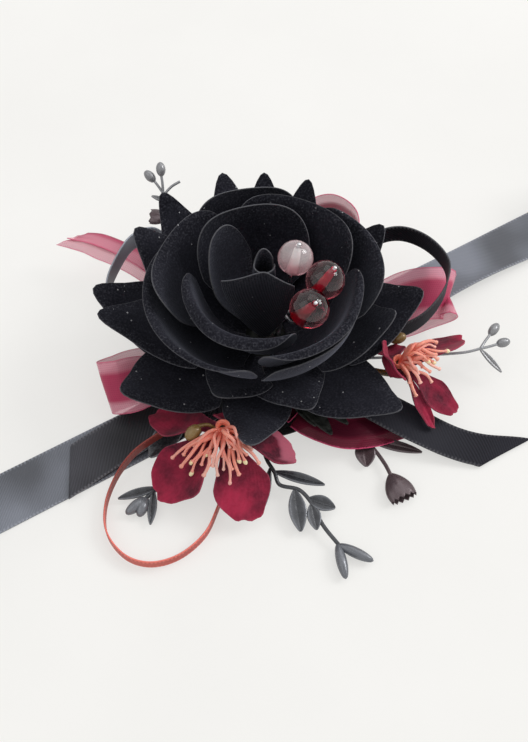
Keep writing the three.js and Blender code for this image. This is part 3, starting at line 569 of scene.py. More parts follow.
def ribbon_grid(stations, directions, width, rows, columns=15, gather=(1, 1), slant=0, fold=0.0,
                wave=(0, 0)):
    """Rows of points across a path. The across vector is mixed between stations and squared to the
    path; the width opens by smoothstep from its gathered share at both ends, and pleats stand up there.
    slant moves one corner of the end ahead over a stretch as long as the slant; fold turns a part of the
    ribbon back under the rest along its length; wave is the height and number of half waves along it."""
    centre, tangent = smooth_path(stations, rows)
    f = np.linspace(0, 1, rows)
    place = np.minimum(f * (len(stations) - 1), len(stations) - 1 - 1e-6)
    at = place.astype(int)
    sides = unit(np.broadcast_to(np.asarray(directions, float), (len(stations), 3)))
    across = sides[at] + (sides[at + 1] - sides[at]) * (place - at)[:, None]
    across = unit(across - (across * tangent).sum(-1, keepdims=True) * tangent)
    normal = np.cross(across, tangent)
    opening = gather[0] + (1 - gather[0]) * smoothstep(f, 0, GATHER_REACH)
    opening = opening * (gather[1] + (1 - gather[1]) * smoothstep(1 - f, 0, GATHER_REACH))
    u = 2 * ease(columns)[None, :] - 1
    doubled = 1 - np.where(u < 0, UNDER_SHARE, UPPER_SHARE) * np.sqrt(u**2 + FOLD_ROUNDING)
    sideways, lift = (doubled, fold * np.maximum(-u, 0)) if fold else (u, 0 * u)
    lead = slant / 2 * np.clip(1 - (1 - f) * path_length(centre) / max(abs(slant), 1e-6), 0, 1)
    pleat = PLEAT_HEIGHT * (1 - opening)[:, None] * np.sin(PLEATS * np.pi * u)
    ripple = wave[0] * np.sin(wave[1] * np.pi * f[:, None] + 1.3 * u) * np.sin(np.pi * f)[:, None]
    rise = lift * opening[:, None] + pleat + ripple
    steps = (opening * width / 2)[:, None] * sideways
    return (centre[:, None] + across[:, None] * steps[..., None] + normal[:, None] * rise[..., None]
            + tangent[:, None] * (lead[:, None] * sideways)[..., None])


def ribbon_edge(grid):
    """Millimetres from each point to the nearer woven edge."""
    across = run_length(grid, 1)
    return np.minimum(across, across[:, -1:] - across)


def path_length(points):
    """The length of a line through points."""
    return float(np.linalg.norm(np.diff(points, axis=0), axis=1).sum())


# %% Narrow loops and their lengths
LOOP_WIDTH = 6
CORAL_WIDTH = 3
LOOP_ROWS = 160
CORAL_SHADE = 0.85
NARROW_LOOPS = {
    "coral_loop": (CORAL_WIDTH, SATIN_CORAL, "satin_coral", [
        polar(-124, ROOT, 6.2), (-16, -16, 7.6), (-23.4, -22.6, 8), (-29, -25.8, 7), (-34.6, -29.6, 5.2),
        (-39, -35, 2.6), (-41.4, -43.4, 1.8), (-40.4, -51.3, 1.8), (-35.1, -57.7, 1.8), (-28.9, -59.6, 1.8),
        (-21.9, -57.7, 1.8), (-15.4, -51.8, 1.8), (-12.2, -44.4, 1.8), (-9.5, -34, 2), (-5.6, -24, 3.4),
        polar(-101, ROOT, 4.6)]),
    "satin_loop_right": (LOOP_WIDTH, SATIN_TWILL, "satin_black", [
        polar(43, ROOT, 6.4), (18, 20, 9), (26, 27.5, 15.5), (32, 31.6, 20.5), (39, 32.4, 22),
        (46.6, 28.8, 21.6), (51.5, 22.2, 20), (51, 16.5, 18), (47, 10.6, 15), (41, 7, 12),
        (28, 6.2, 7.6), polar(11, ROOT, 5.8)]),
    # The left loop takes the face finish with its painted sheen; the right loop takes the twill.
    "satin_loop_left": (LOOP_WIDTH, SATIN_FACE_PAINTED_SHEEN, "satin_black", [
        polar(127, ROOT, 6.4), (-16.5, 21, 9), (-25, 29, 15.5), (-31.6, 32.6, 21), (-37, 29, 22.5),
        (-41.2, 22, 21), (-43.4, 15.5, 18.5), (-42.4, 10.4, 15), (-37, 7.6, 11.4),
        (-27, 6.6, 8), polar(164, ROOT, 6)]),
}
for node, (width, finish, slot, stations) in NARROW_LOOPS.items():
    grid = ribbon_grid(stations, UP, width, LOOP_ROWS, columns=9)
    shade = CORAL_SHADE if finish == SATIN_CORAL else 0.0
    dim = shade - shade * smoothstep(np.linspace(0, 1, LOOP_ROWS)[:, None], 0.3, 0.5)
    loop = dress(node, node + "_ribbon", cloth(grid, SATIN, edge=ribbon_edge(grid), dim=dim), finish)
    line = smooth_path(stations, 120)[0]
    reach = round(path_length(line) * MM, 3)
    print(node, "length", reach, "m")

# %% [markdown]
# The wrist ribbon runs under the bundle, comes down to the table on both sides
# and is rolled up at each end, as it is sold. Each half is one sheet. It bends
# over the felt's edge, where its tail folds down round a wrist, and it rides on
# no body.

# %% Wrist ribbon
TAIL_REST = SATIN / 2 + 0.1
TAIL_FALL = 13
ROLL_OUTSIDE = 11
ROLL_INSIDE = 4
ROLL_PITCH = 1.5
HINGE_OUT = FELT_RADIUS + CLEARANCE
FLAT_ROWS, ROLL_ROWS = 110, 240


def wrist_half(outward, reach, tilt):
    """A straight stretch that falls to the table by smoothstep and leans by tilt in its middle, and a
    roll whose radius shrinks by one pitch for each turn, wound inwards from below."""
    start = HINGE_OUT + CLEARANCE / 2
    out = np.linspace(0, reach, FLAT_ROWS)
    lean = np.radians(tilt) * np.sin(np.pi * smoothstep(out, start, reach)) ** 1.2
    flat = FELT_THICKNESS + CLEARANCE + SATIN / 2
    height = flat + (TAIL_REST - flat) * smoothstep(out, start, start + TAIL_FALL)
    height = height + RIBBON_WIDTH / 2 * np.sin(lean)
    turns = (ROLL_OUTSIDE - ROLL_INSIDE) / ROLL_PITCH
    angle = np.linspace(0, 2 * np.pi * turns, ROLL_ROWS)[1:]
    radius = ROLL_OUTSIDE - ROLL_PITCH * angle / (2 * np.pi)
    out = np.concatenate([out, reach + radius * np.sin(angle)])
    height = np.concatenate([height, TAIL_REST + ROLL_OUTSIDE - radius * np.cos(angle)])
    lean = np.concatenate([lean, 0 * angle])[:, None, None]
    centre = out[:, None] * outward + height[:, None] * np.array(UP)
    u = (2 * ease(13) - 1)[None, :, None] * RIBBON_WIDTH / 2
    return centre[:, None] + u * (np.cos(lean) * ACROSS - np.sin(lean) * np.array(UP))


HALVES = {"left": (-OUT, 104, 0), "right": (OUT, 118, 13)}
for side, (outward, reach, tilt) in HALVES.items():
    grid = wrist_half(outward, reach, tilt)
    half = dress(f"wrist_ribbon_{side}", f"wrist_satin_{side}",
                 cloth(grid, SATIN, edge=ribbon_edge(grid)), SATIN_FACE_PAINTED_SHEEN, body=None)
    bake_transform(half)
    if side == "left":
        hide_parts("wrist_ribbon_centre")

# %% Cut tails of satin
SATIN_TAILS = {
    "ribbon_tail_left": (SATIN_OVER_PAINTED_SHEEN, 13.5, -9, [
        (polar(211, ROOT, 3.1), ACROSS), ((-22, -12.6, 3), ACROSS), ((-34, -20, 1.9), ACROSS),
        ((-43, -26, 1.25), ACROSS), ((-52, -33, 1.25), ACROSS)]),
    "ribbon_tail_right": (SATIN_TWILL, 10, 14, [
        (polar(-29, ROOT, 5.4), (0.45, 0.9, 0)), ((26, -12.4, 6.4), (0.42, 0.9, 0.05)),
        ((40, -20.5, 5.6), (0.35, 0.94, 0.1)), ((51, -24.4, 2.2), (0.28, 0.96, 0)),
        ((58, -26, 1), (0.15, 1, 0)), ((65.5, -26.8, 0.8), (0.1, 1, 0))]),
}
for node, (finish, width, slant, stations) in SATIN_TAILS.items():
    centres, sides = zip(*stations)
    grid = ribbon_grid(centres, sides, width, 90, gather=(0.5, 1), slant=slant)
    tail = dress(node, node + "_satin", cloth(grid, SATIN, edge=ribbon_edge(grid)), finish)

# %% [markdown]
# The burgundy ribbons are organza: a sheer weave that lets the table show
# through, deep where it lies double and pale where one layer catches the
# light, with a tight bright edge on both sides.

# %% Organza
def organza(name, deep, pale, least, sheen):
    """Sheer weave: more cover along the ribbon's middle than the least it has beside its edges, with
    slow bands, and a closed bright line on the edge itself."""
    n = Finish(name, {
        "Roughness": 0.45, "Sheen Weight": sheen, "Specular IOR Level": 2 * sheen})
    weave = n.math("MAXIMUM", n.threads(across=1.7), n.threads(along=1.7))
    bands = n.mottle(85.0, detail=1.5)
    middle = n.add("MapRange", {"Value": n.mark("edge"), "From Min": 2.2, "From Max": 4.2},
                   interpolation_type="SMOOTHSTEP").outputs[0]
    near = n.cut_edge(0.45)
    depth = n.math("MULTIPLY_ADD", bands, -0.25, middle, clamp=True)
    tone = n.mix(near, n.mix(depth, pale, deep), (0.72, 0.08, 0.2))
    cover = n.math("MULTIPLY_ADD", weave, 0.12, n.math("MULTIPLY_ADD", depth, 0.32, least))
    cover = n.math("MAXIMUM", cover, n.times(near, 0.9), clamp=True)
    return n.done(Base_Color=tone, Alpha=cover, Normal=n.bump(weave, 0.03))


ORGANZA_BURGUNDY = organza("organza_burgundy", (0.47, 0.012, 0.085), (0.86, 0.34, 0.44),
                           least=0.42, sheen=0.2)
ORGANZA_SHADED = organza("organza_shaded", (0.05, 0.0015, 0.01), (0.15, 0.01, 0.03),
                         least=0.8, sheen=0.05)
ORGANZA_WIDTH = 15
LEFT_FOLD = (0.27, -0.63, -0.72)
LEFT_MIDDLE = (0.3, -0.85, -0.42)
RIGHT_FOLD = (0.2, 0.88, 0.42)
FRONT_LIE = (0.12, -0.98, -0.15)
SHEER = {
    "organza_loop_left": (ORGANZA_WIDTH, "gathered", {"gather": (0.35, 0.3), "wave": (0.5, 3)}, [
        (polar(203, ROOT, 6.6), UP), ((-27, -7.5, 9.6), LEFT_MIDDLE), ((-38.5, -12.5, 11.2), LEFT_FOLD),
        ((-43, -11.6, 9.6), LEFT_FOLD), ((-39.5, -8.6, 7.9), LEFT_FOLD), ((-27, -3, 7.6), LEFT_MIDDLE),
        (polar(189, ROOT, 5.6), UP)]),
    "organza_tail_upper_left": (8, "folded", {"gather": (0.6, 0.6), "slant": -8, "fold": 2.2}, [
        (polar(142, ROOT, 6.4), UP), ((-25, 21.5, 9), (0.5, 0.5, 0.7)), ((-38, 30.5, 12), (0.5, 0.6, 0.6)),
        ((-49, 36.4, 12), (0.5, 0.7, 0.5)), ((-57.5, 39, 11.6), (0.4, 0.8, 0.4))]),
    "organza_loop_top": (ORGANZA_WIDTH - 2, "gathered", {"gather": (0.3, 0.3), "wave": (0.6, 4)}, [
        (polar(72, ROOT, 6), UP), ((8.8, 28, 8.6), UP), ((11.6, 37.5, 11.5), UP), ((14.4, 43.6, 17), UP),
        ((20, 44, 18.5), UP), ((26, 39, 18), UP), ((26.5, 31.5, 15), UP), ((17, 20.5, 8.8), UP),
        (polar(54, ROOT, 6), UP)]),
    "organza_loop_right": (ORGANZA_WIDTH, "gathered", {"gather": (0.35, 0.3), "wave": (0.5, 3)}, [
        (polar(27, ROOT, 7), UP), ((29, 13.5, 9.4), RIGHT_FOLD), ((44, 18.6, 11.6), RIGHT_FOLD),
        ((53, 20, 9.6), RIGHT_FOLD), ((45, 18, 7.2), RIGHT_FOLD), ((29, 11.5, 5.8), RIGHT_FOLD),
        (polar(18, ROOT, 5.4), UP)]),
    "organza_tail_front": (ORGANZA_WIDTH - 3, "gathered", {
        "gather": (0.4, 1), "slant": 4, "wave": (0.5, 3)}, [
        (polar(-70, ROOT, 5.2), (1, 0.3, 0)), ((9.5, -17, 6.2), (0.8, -0.5, 0)),
        ((15.6, -19.6, 5.6), FRONT_LIE), ((22, -21.6, 4.6), FRONT_LIE),
        ((29, -20.4, 3.6), FRONT_LIE), ((35.5, -17.6, 2.6), FRONT_LIE)]),
}
for node, (width, held, form, stations) in SHEER.items():
    centres, sides = zip(*stations)
    grid = ribbon_grid(centres, sides, width, 130, columns=25, **form)
    finish = ORGANZA_SHADED if node == "organza_tail_front" else ORGANZA_BURGUNDY
    sheer = dress(node, node + "_sheer", cloth(grid, ORGANZA, edge=ribbon_edge(grid)), finish)

# %% [markdown]
# Velvet looks almost black from above and grey where it is seen along its
# pile. Only the bud in front shows the ribs of the bare cloth on its outside.
# Cut edges show as thin light lines, and lint sticks to all of it. Sheen on
# the shader gives the soft grey at grazing angles.

# %% Velvet finish
def velvet():
    """Flock with flecks of painted highlight on its fine pile, ribs of bare cloth by the mark bare on the
    outside, fuzz towards the cut edge, a thin light line on it, and specks of two sizes by the mark dusty."""
    n = Finish("velvet_black", {
        "Roughness": 0.92, "Specular IOR Level": 0.1, "Sheen Weight": 0.2, "Sheen Roughness": 0.4,
        "Sheen Tint": (0.74, 0.78, 0.96, 1)})
    pile, slow = n.mottle(1900.0), n.mottle(120.0, detail=4.0)
    ribs, picks = n.threads(across=1.35), n.threads(along=2.4)
    outside = n.times(n.math("SUBTRACT", 1.0, n.mark("back")), n.mark("bare"))
    flock = n.mix(slow, (0.004, 0.004, 0.007), (0.013, 0.013, 0.019))
    # Painted highlight: flecks of the fine pile lighten the flock.
    flock = n.mix(n.times(pile, pile, 0.42), flock, (0.04, 0.041, 0.055))
    woven = n.math("MULTIPLY_ADD", picks, 0.2, n.times(ribs, 0.7))
    bare = n.mix(woven, (0.005, 0.005, 0.008), (0.022, 0.022, 0.03))
    tone = n.mix(outside, flock, bare)
    tone = n.mix(n.times(n.cut_edge(6.0), pile, pile, pile, 0.42), tone, (0.1, 0.1, 0.115))
    tone = n.mix(n.times(n.cut_edge(0.26), 0.5), tone, (0.15, 0.15, 0.16))
    dust = n.lint(cell_scale=620.0, share=0.1, size=0.13)
    lint = n.math("MAXIMUM", n.lint(cell_scale=300.0, share=0.2, size=0.085), dust)
    tone = n.mix(n.times(lint, n.mark("dusty")), tone, (0.42, 0.42, 0.44))
    relief = n.math("ADD", n.times(pile, 0.35), n.times(ribs, outside, 0.8))
    return n.done(Base_Color=tone, Normal=n.bump(relief, depth=0.12, strength=0.7))


VELVET_BLACK = velvet()
print("velvet:", len(VELVET_BLACK.node_tree.nodes), "nodes")

# %% [markdown]
# Each petal is a strip of a surface of revolution about the rose's axis: a
# curved profile that starts at its layer on the receptacle and rises through a
# few radius and height pairs, cut to a round or a pointed top. Low waves along
# the rim take away the perfect roundness that cloth never has.

# %% Rose petals
PETAL_ROWS, PETAL_COLUMNS = 41, 61


def base_of(layer):
    """Radius and height where a layer of petals is fixed on the receptacle."""
    radius = FIRST_LAYER + layer * LAYER_PITCH
    return radius, cone_height(radius) + PETAL_SEAT


def petal_grid(layer, span, rise, side=0.6, point=5, flare=(0, 0), foot=0.6, crest=(0, 0), wave=0.15,
               nub=0.0, blunt=0.0, roll=0.0, turn=0.0):
    """t runs from -1 to 1 across the petal and s from its foot to its rim. The outline falls from the
    rim's middle to its edges by (1 - side) times a drop: |t|^point, with |t| rounded off near the middle
    by blunt, or partly a smooth step beside the middle, which leaves a nub with hollow flanks. Radius and
    height follow the profile at s; the angle opens from its foot's share to the whole by 0.6 of the rise.
    A crest lifts the rim towards one azimuth, a roll turns the outermost part of the petal down, and a
    wave that grows with the cube of s bends the rim a little."""
    t = (2 * ease(PETAL_COLUMNS) - 1)[None, :]
    away = (np.sqrt(t**2 + blunt**2) - blunt) / (np.sqrt(1 + blunt**2) - blunt)
    drop = (1 - nub) * away**point + nub * smoothstep(np.abs(t), 0, 0.3)
    share = ease(PETAL_ROWS)[:, None]
    s = share * (1 - (1 - side) * drop)
    r, z = bezier([base_of(layer), *rise], s)
    middle, half = np.radians(sum(span) / 2), np.radians((span[1] - span[0]) / 2)
    angle = middle + t * half * (foot + (1 - foot) * smoothstep(s, 0, 0.6))
    ripple = wave * s**3 * (np.sin(3.1 * t + turn) + np.sin(5.3 * t + 2 * turn))
    radius = r * (1 + s * (flare[0] * t + flare[1] * t**2)) + ripple
    lift = crest[1] * s**2 * np.maximum(np.cos(angle - np.radians(crest[0])), 0) ** 2
    turned_down = roll * smoothstep(share, 0.72, 1.12) * smoothstep(s, 0.2, 0.7)
    return np.stack([ROSE_AXIS[0] + radius * np.cos(angle), ROSE_AXIS[1] + radius * np.sin(angle),
                     z + 0.6 * ripple + lift - turned_down], -1)


def petal_edge(grid):
    """Millimetres from each point to the nearest cut edge; the foot isn't one."""
    across, up = run_length(grid, 1), run_length(grid, 0)
    return np.minimum(np.minimum(across, across[:, -1:] - across), up[-1:] - up)


PETALS = {
    "centre_roll": dict(layer=0, span=(40, 375), foot=1, side=0.97, crest=(95, 3),
                        rise=[(2.2, 28), (3.3, 38), (2.7, 46)]),
    "front_bud": dict(layer=1, span=(195, 329), side=0.86, point=2.5, flare=(-0.3, 1.4),
                      rise=[(4.5, 24), (5.5, 36), (4.2, 48)]),
    "inner_left": dict(layer=2, span=(106, 188), side=0.66, point=2.5, crest=(112, 4),
                       rise=[(9, 24), (14, 35), (14.5, 46)]),
    "cup_back": dict(layer=3, span=(46, 158), rise=[(12, 22), (20.5, 32), (21, 45)]),
    "cup_front": dict(layer=3, span=(172, 298), point=7, wave=0.5,
                      rise=[(13, 21), (20, 33), (17, 47), (22.4, 40.3)]),
    "cup_right_back": dict(layer=4, span=(14, 112), rise=[(14, 20.5), (23, 31), (23.5, 41), (26.5, 43)]),
    "cup_right_front": dict(layer=4, span=(266, 373), point=7, wave=0.5,
                            rise=[(16, 20), (24, 31), (21.5, 44.5), (26.4, 40)]),
    "cup_left": dict(layer=4, span=(113, 202), rise=[(15, 20.5), (24, 31), (25, 40), (28.5, 41.5)]),
    "mid_right": dict(layer=5, span=(-12, 64), rise=[(17, 18), (28, 28), (28.5, 41), (31.5, 39.5)]),
    "mid_back": dict(layer=5, span=(66, 134), rise=[(17, 18), (28, 28), (29.5, 34), (30.5, 41)]),
    "mid_left": dict(layer=5, span=(140, 266), flare=(-0.05, -0.1), point=10,
                     rise=[(17, 18), (28, 26), (26.5, 39), (31, 36.5)]),
    "mid_front": dict(layer=5, span=(268, 346), point=10, rise=[(16, 17.5), (24, 25), (25, 35.5)]),
}
UPPER = dict(side=0.46, point=1.1, nub=0.13, blunt=0.1, roll=1.3, wave=0.35)
LOWER = dict(UPPER, side=0.48)
WHORLS = {
    "upper": (UPPER, 6, [(18, 15.8), (27, 21)], [
        (-116, 36, 27, 23.5), (-65, 40, 28.8, 20), (-9, 36, 35, 34), (36, 36, 40, 34), (147, 36, 42, 34),
        (182, 34, 44, 28)]),
    "lower": (LOWER, 8, [(20, 12.6), (32, 15.6)], [
        (-148, 32, 44, 24), (-38, 27, 44, 22), (10, 34, 44, 26), (90, 25, 47.5, 30), (127, 27, 48, 32),
        (169, 34, 47, 25)]),
}
for whorl, (outline, layer, belly, tips) in WHORLS.items():
    for i, (azimuth, half, radius, height) in enumerate(tips):
        under = i % 2
        lowered = [(r, z - under * LAYER_PITCH) for r, z in belly]
        PETALS[f"{whorl}_{i + 1}"] = dict(
            outline, layer=layer + under, span=(azimuth - half, azimuth + half),
            rise=[*lowered, (radius, height)])
FRONT_POINT = 0.9
PETALS["upper_1"].update(point=FRONT_POINT, rise=[(15, 15.2), (22, 18), (27, 23.5)])
PETALS["upper_2"].update(point=FRONT_POINT, rise=[(15, 14.3), (22, 17.1), (28.8, 20)])
PETALS["upper_back"] = dict(UPPER, layer=7, span=(76, 134), rise=[(18, 14.9), (27, 20.1), (46, 33)])
PETALS["lower_front"] = dict(LOWER, layer=9, span=(-125, -65), side=0.36, point=0.85,
                             rise=[(20, 11), (30, 14.2), (39.3, 23.8)])
PETALS["lower_back"] = dict(LOWER, layer=8, span=(47, 99), rise=[(20, 12.6), (32, 15.6), (43, 33.5)])


def grid_area(grid):
    """The sum of the cells' areas, each the cross product of its two sides."""
    cells = np.cross(np.diff(grid[:-1], axis=1), np.diff(grid[:, :-1], axis=0))
    return np.linalg.norm(cells, axis=-1).sum()


CLEAN = {"centre_roll", "front_bud", "inner_left", "cup_back", "cup_right_back"}
for i, (name, shape) in enumerate(PETALS.items()):
    grid = petal_grid(turn=1.7 * i, **shape)
    marks = dict(edge=petal_edge(grid), bare=1.0 if name == "front_bud" else 0.1,
                 dusty=0.25 if name in CLEAN else 0.8)
    petal = dress("petal_" + name, "velvet_" + name, cloth(grid, VELVET, **marks), VELVET_BLACK)

# %% [markdown]
# Glass beads are turned shapes with a bore. The red ones are clear glass round
# a red lining, and take more of its colour towards their lower end. Each bead
# turns on its own wire, and the three wires meet in a twisted foot.

# %% Beads and their wires
BEAD_WIRE = 0.9
BEAD_BORE = BEAD_WIRE + 2 * CLEARANCE
LINING = 0.04
STRAND = 0.38
TWIST_TURNS = 3
TWIST_HEIGHT = 12
PICK_AZIMUTH = -13
PICK_LAYER = 2.75


def glass(name, low, high, clear):
    """Glass that goes from one tint at its lower end to another at its top; less clear is milkier."""
    n = Finish(name, {
        "Roughness": 0.02, "IOR": 1.5, "Specular IOR Level": 0.5, "Transmission Weight": clear})
    smear = n.mottle(230.0, detail=1.0, low=-0.3, high=0.3)
    rise = n.math("ADD", n.mark("height"), smear, clamp=True)
    return n.done(Base_Color=n.mix(rise, low, high))


def lining(name, tone):
    """Painted metal in the bore, streaked up to 1.6 times its tone."""
    n = Finish(name, {"Roughness": 0.3, "Coat Weight": 0.5})
    bright = tuple(min(1, 1.6 * c) for c in tone)
    return n.done(Base_Color=n.mix(n.mottle(700.0, detail=2.0), tone, bright))


def silver():
    """Wire with a worn polish: its tone and its roughness both mottle."""
    n = Finish("silver_wire", {"Metallic": 1.0})
    return n.done(Base_Color=n.mix(n.mottle(900.0), (0.5, 0.5, 0.52), (0.72, 0.72, 0.74)),
                  Roughness=n.mottle(600.0, low=0.22, high=0.4))


SILVER = silver()
RED_GLASS = glass("glass_red", (0.75, 0.006, 0.05), (0.42, 0.38, 0.4), clear=1.0)
CLEAR_GLASS = glass("glass_clear", (0.95, 0.38, 0.46), (1.0, 0.98, 0.98), clear=0.74)
RED_LINING = lining("lining_red", (0.85, 0.01, 0.06))
PALE_LINING = lining("lining_pale", (0.9, 0.74, 0.74))
BEADS = [
    ("first_bead", 9, (7.9, 4, 46), (0.16, 0.04, 1), CLEAR_GLASS, PALE_LINING, "glass_clear"),
    ("second_bead", 10, (15.4, -0.6, 43), (0.42, -0.05, 1), RED_GLASS, RED_LINING, "glass_red"),
    ("third_bead", 10, (11.2, -9.6, 43), (0.26, -0.4, 1), RED_GLASS, RED_LINING, "glass_red"),
]
pick_radius, pick_height = base_of(PICK_LAYER)
pick_foot = np.array(polar(PICK_AZIMUTH, pick_radius, pick_height + BEAD_WIRE / 2))
twist = np.linspace(0, 1, 40)
wires = []
for strand in range(len(BEADS)):
    turn = 2 * np.pi * (TWIST_TURNS * twist + strand / len(BEADS))
    coil = [twist + STRAND * np.cos(turn), STRAND * np.sin(turn), TWIST_HEIGHT * twist]
    wires.append(tube(pick_foot + np.stack(coil, -1), STRAND))
for i, (body, diameter, centre, lean, clear, core, slot) in enumerate(BEADS):
    axis = unit(np.array(lean, float))
    radius, bore = diameter / 2, BEAD_BORE / 2
    first = np.arcsin(bore / radius)
    arc = np.linspace(first, np.pi - first, 40)
    ball = np.stack([radius * np.sin(arc), -radius * np.cos(arc)], -1)
    profile = np.vstack([ball, ball[:1]])
    share = np.clip(0.5 + profile[:, 1:] / diameter, 0, 1) ** 1.2
    dress(f"bead_{i + 1}", f"bead_glass_{i + 1}",
          [part(stand(turned(profile), centre, axis), height=share)], clear, body)
    tall = ball[-1, 1] - 0.1
    outer = bore + LINING
    tube_wall = [(outer, -tall), (outer, tall), (bore, tall), (bore, -tall), (outer, -tall)]
    liner = new_object(f"bead_lining_{i + 1}", [part(stand(turned(tube_wall, 24), centre, axis))], core)
    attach(liner, body)
    below = np.array(centre) - axis * (radius + 2)
    above = np.array(centre) + axis * (radius + CLEARANCE)
    bend = below + 0.4 * (pick_foot - below)
    wires.append(tube(smooth_path([pick_foot + (0.9, 0, 10), bend, below], 24)[0], BEAD_WIRE / 2))
    wires.append(tube(np.linspace(below - 0.4 * axis, above + 0.5 * axis, 12), BEAD_WIRE / 2))
    knob = np.linspace(0, 1, 9)
    head = 0.65 * bore * np.sqrt(1 - (2 * knob - 1) ** 4 + 0.05)
    wires.append(tube(above + knob[:, None] * 0.6 * axis, head))
dress("bead_pick", "bead_wires", wires, SILVER)
print("beads:", [b[0] for b in BEADS])

# %% [markdown]
# The two blossoms are one ring of burgundy cloth each, with five lobes of
# different lengths, round a coral tube from which the stamens spring. The lobes
# ripple and curl up at the rim, and veins run out from the middle.

# %% Blossom finishes
def blossom_finish():
    """Cloth that brightens outwards by the mark out, with veins, ribs where it is ribbed, a pale strip of
    painted highlight where one lobe seems curled over, a fine grain and a light cut edge."""
    n = Finish("blossom_cloth", {
        "Roughness": 0.8, "Specular IOR Level": 0.2, "Sheen Weight": 0.1, "Sheen Roughness": 0.5})
    slow, fine = n.mottle(190.0, detail=5.0), n.mottle(1500.0, detail=2.0)
    veins, ribs = n.threads(across=0.5), n.threads(along=1.4)
    bright = n.math("ADD", slow, n.math("MULTIPLY_ADD", n.mark("out"), 0.9, -0.58), clamp=True)
    tone = n.mix(bright, (0.055, 0.004, 0.014), (0.34, 0.015, 0.05))
    drawn = n.times(ribs, n.mark("ribbed"))
    dark = n.math("MULTIPLY_ADD", drawn, 0.6, n.times(veins, 0.12), clamp=True)
    tone = n.mix(dark, tone, (0.1, 0.004, 0.018))
    # Painted highlight: a pale strip where one lobe's rim seems curled over.
    tone = n.mix(n.mark("curled"), tone, (0.5, 0.13, 0.19))
    tone = n.mix(n.times(fine, 0.12), tone, (0.5, 0.06, 0.12))
    tone = n.mix(n.times(n.cut_edge(0.5), 0.35), tone, (0.5, 0.08, 0.14))
    relief = n.math("ADD", n.times(fine, 0.6), n.math("MULTIPLY_ADD", veins, 0.4, slow))
    return n.done(Base_Color=tone, Normal=n.bump(relief, depth=0.1, strength=0.6))


def stamen_finish():
    """Soft coral that pales along each filament, more on those with a high mark rim, with tan anthers by the
    mark pollen and a dark stem by the mark stalk."""
    n = Finish("stamen_coral", {"Subsurface Weight": 0.15, "Specular IOR Level": 0.45})
    along, rim = n.mark("along"), n.mark("rim")
    slow = n.mottle(420.0)
    tone = n.mix(slow, (0.8, 0.13, 0.08), (0.88, 0.25, 0.17))
    tone = n.mix(n.times(along, 0.5), tone, (0.93, 0.46, 0.36))
    tone = n.mix(n.times(rim, rim, along, 0.6), tone, (0.97, 0.66, 0.56))
    tone = n.mix(n.mark("pollen"), tone, (0.9, 0.74, 0.42))
    tone = n.mix(n.mark("stalk"), tone, (0.03, 0.035, 0.02))
    return n.done(Base_Color=tone, Roughness=n.mottle(500.0, low=0.35, high=0.55),
                  Normal=n.bump(slow, depth=0.1, strength=0.5))


BLOSSOM = blossom_finish()
STAMEN = stamen_finish()
print("blossom finishes:", BLOSSOM.name, STAMEN.name)

# %% Blossoms
STEM = 1.8
COROLLA_HOLE = STEM / 2 + CLEARANCE
COLLAR = 3.6
HIDDEN = COLLAR - 1
LOBE_ROWS, LOBE_COLUMNS = 33, 31
RIBBED_SHARE = 0.6
FILAMENT = 0.92
PAD_AT, PAD_HALF = 0.955, 0.035
BETWEEN_REACH, BETWEEN_RISE = 0.84, 1.2
INNER_REACH, INNER_RISE = 0.62, 2.4
ANTHER_EVERY = 5


def lobe_grid(centre, azimuth, length, width, lift, roll=0, skew=0.0, turn=0.0):
    """One lobe in its own frame: out along its azimuth, across, and up. With t across it and s along it,
    the outline is 0.55 + 0.45(1 - |t|^2.6) with small nicks, cut back by its skew towards t = 1. The lobe
    starts hidden under the collar, opens from 0.3 of its width by smoothstep, bends to its lift and rolls
    about its own length over the first half. Its sides cup and its rim ripples."""
    turned_to = np.radians(azimuth)
    out = np.array([np.cos(turned_to), np.sin(turned_to), 0])
    side = np.cross(UP, out)
    t = (2 * ease(LOBE_COLUMNS) - 1)[None, :]
    nicks = 0.016 * np.sin(7.3 * t + 3 * turn) + 0.012 * np.sin(15 * t + turn)
    s = ease(LOBE_ROWS)[:, None] * (0.55 + 0.45 * (1 - np.abs(t) ** 2.6) + nicks) * (1 - skew * (t + 1) / 2)
    bend = smoothstep(s, 0, 0.5)
    rise, tilt = np.radians(lift) * bend, np.radians(roll) * bend
    half = width / 2 * (0.3 + 0.7 * smoothstep(s, 0.05, 0.7))
    ripple = s**3 * (0.45 * np.sin(3.4 * t + turn) + 0.3 * np.sin(8.3 * t + 2 * turn))
    proud = 0.09 * width * t**2 * bend + ripple
    run = HIDDEN + (length - HIDDEN) * s
    wide = t * half
    ahead = run * np.cos(rise) - proud * np.sin(rise)
    up = (run - HIDDEN) * np.sin(rise) + proud * np.cos(rise) + wide * np.sin(tilt)
    across = wide * np.cos(tilt)
    grid = ahead[..., None] * out + across[..., None] * side + up[..., None] * np.array(UP)
    return np.asarray(centre, float) + grid, s, t + 0 * s


def filament(line, thick, **marks):
    """A soft thread: a tube that thins towards its end and swells there into a small rounded pad."""
    along = np.linspace(0, 1, len(line))
    swell = 0.5 * np.exp(-(((along - PAD_AT) / PAD_HALF) ** 2))
    closing = np.sqrt(np.clip((1 - along) / 0.03, 0.02, 1))
    return tube(line, thick / 2 * (1.15 - 0.4 * along + swell) * closing, 9, **marks)


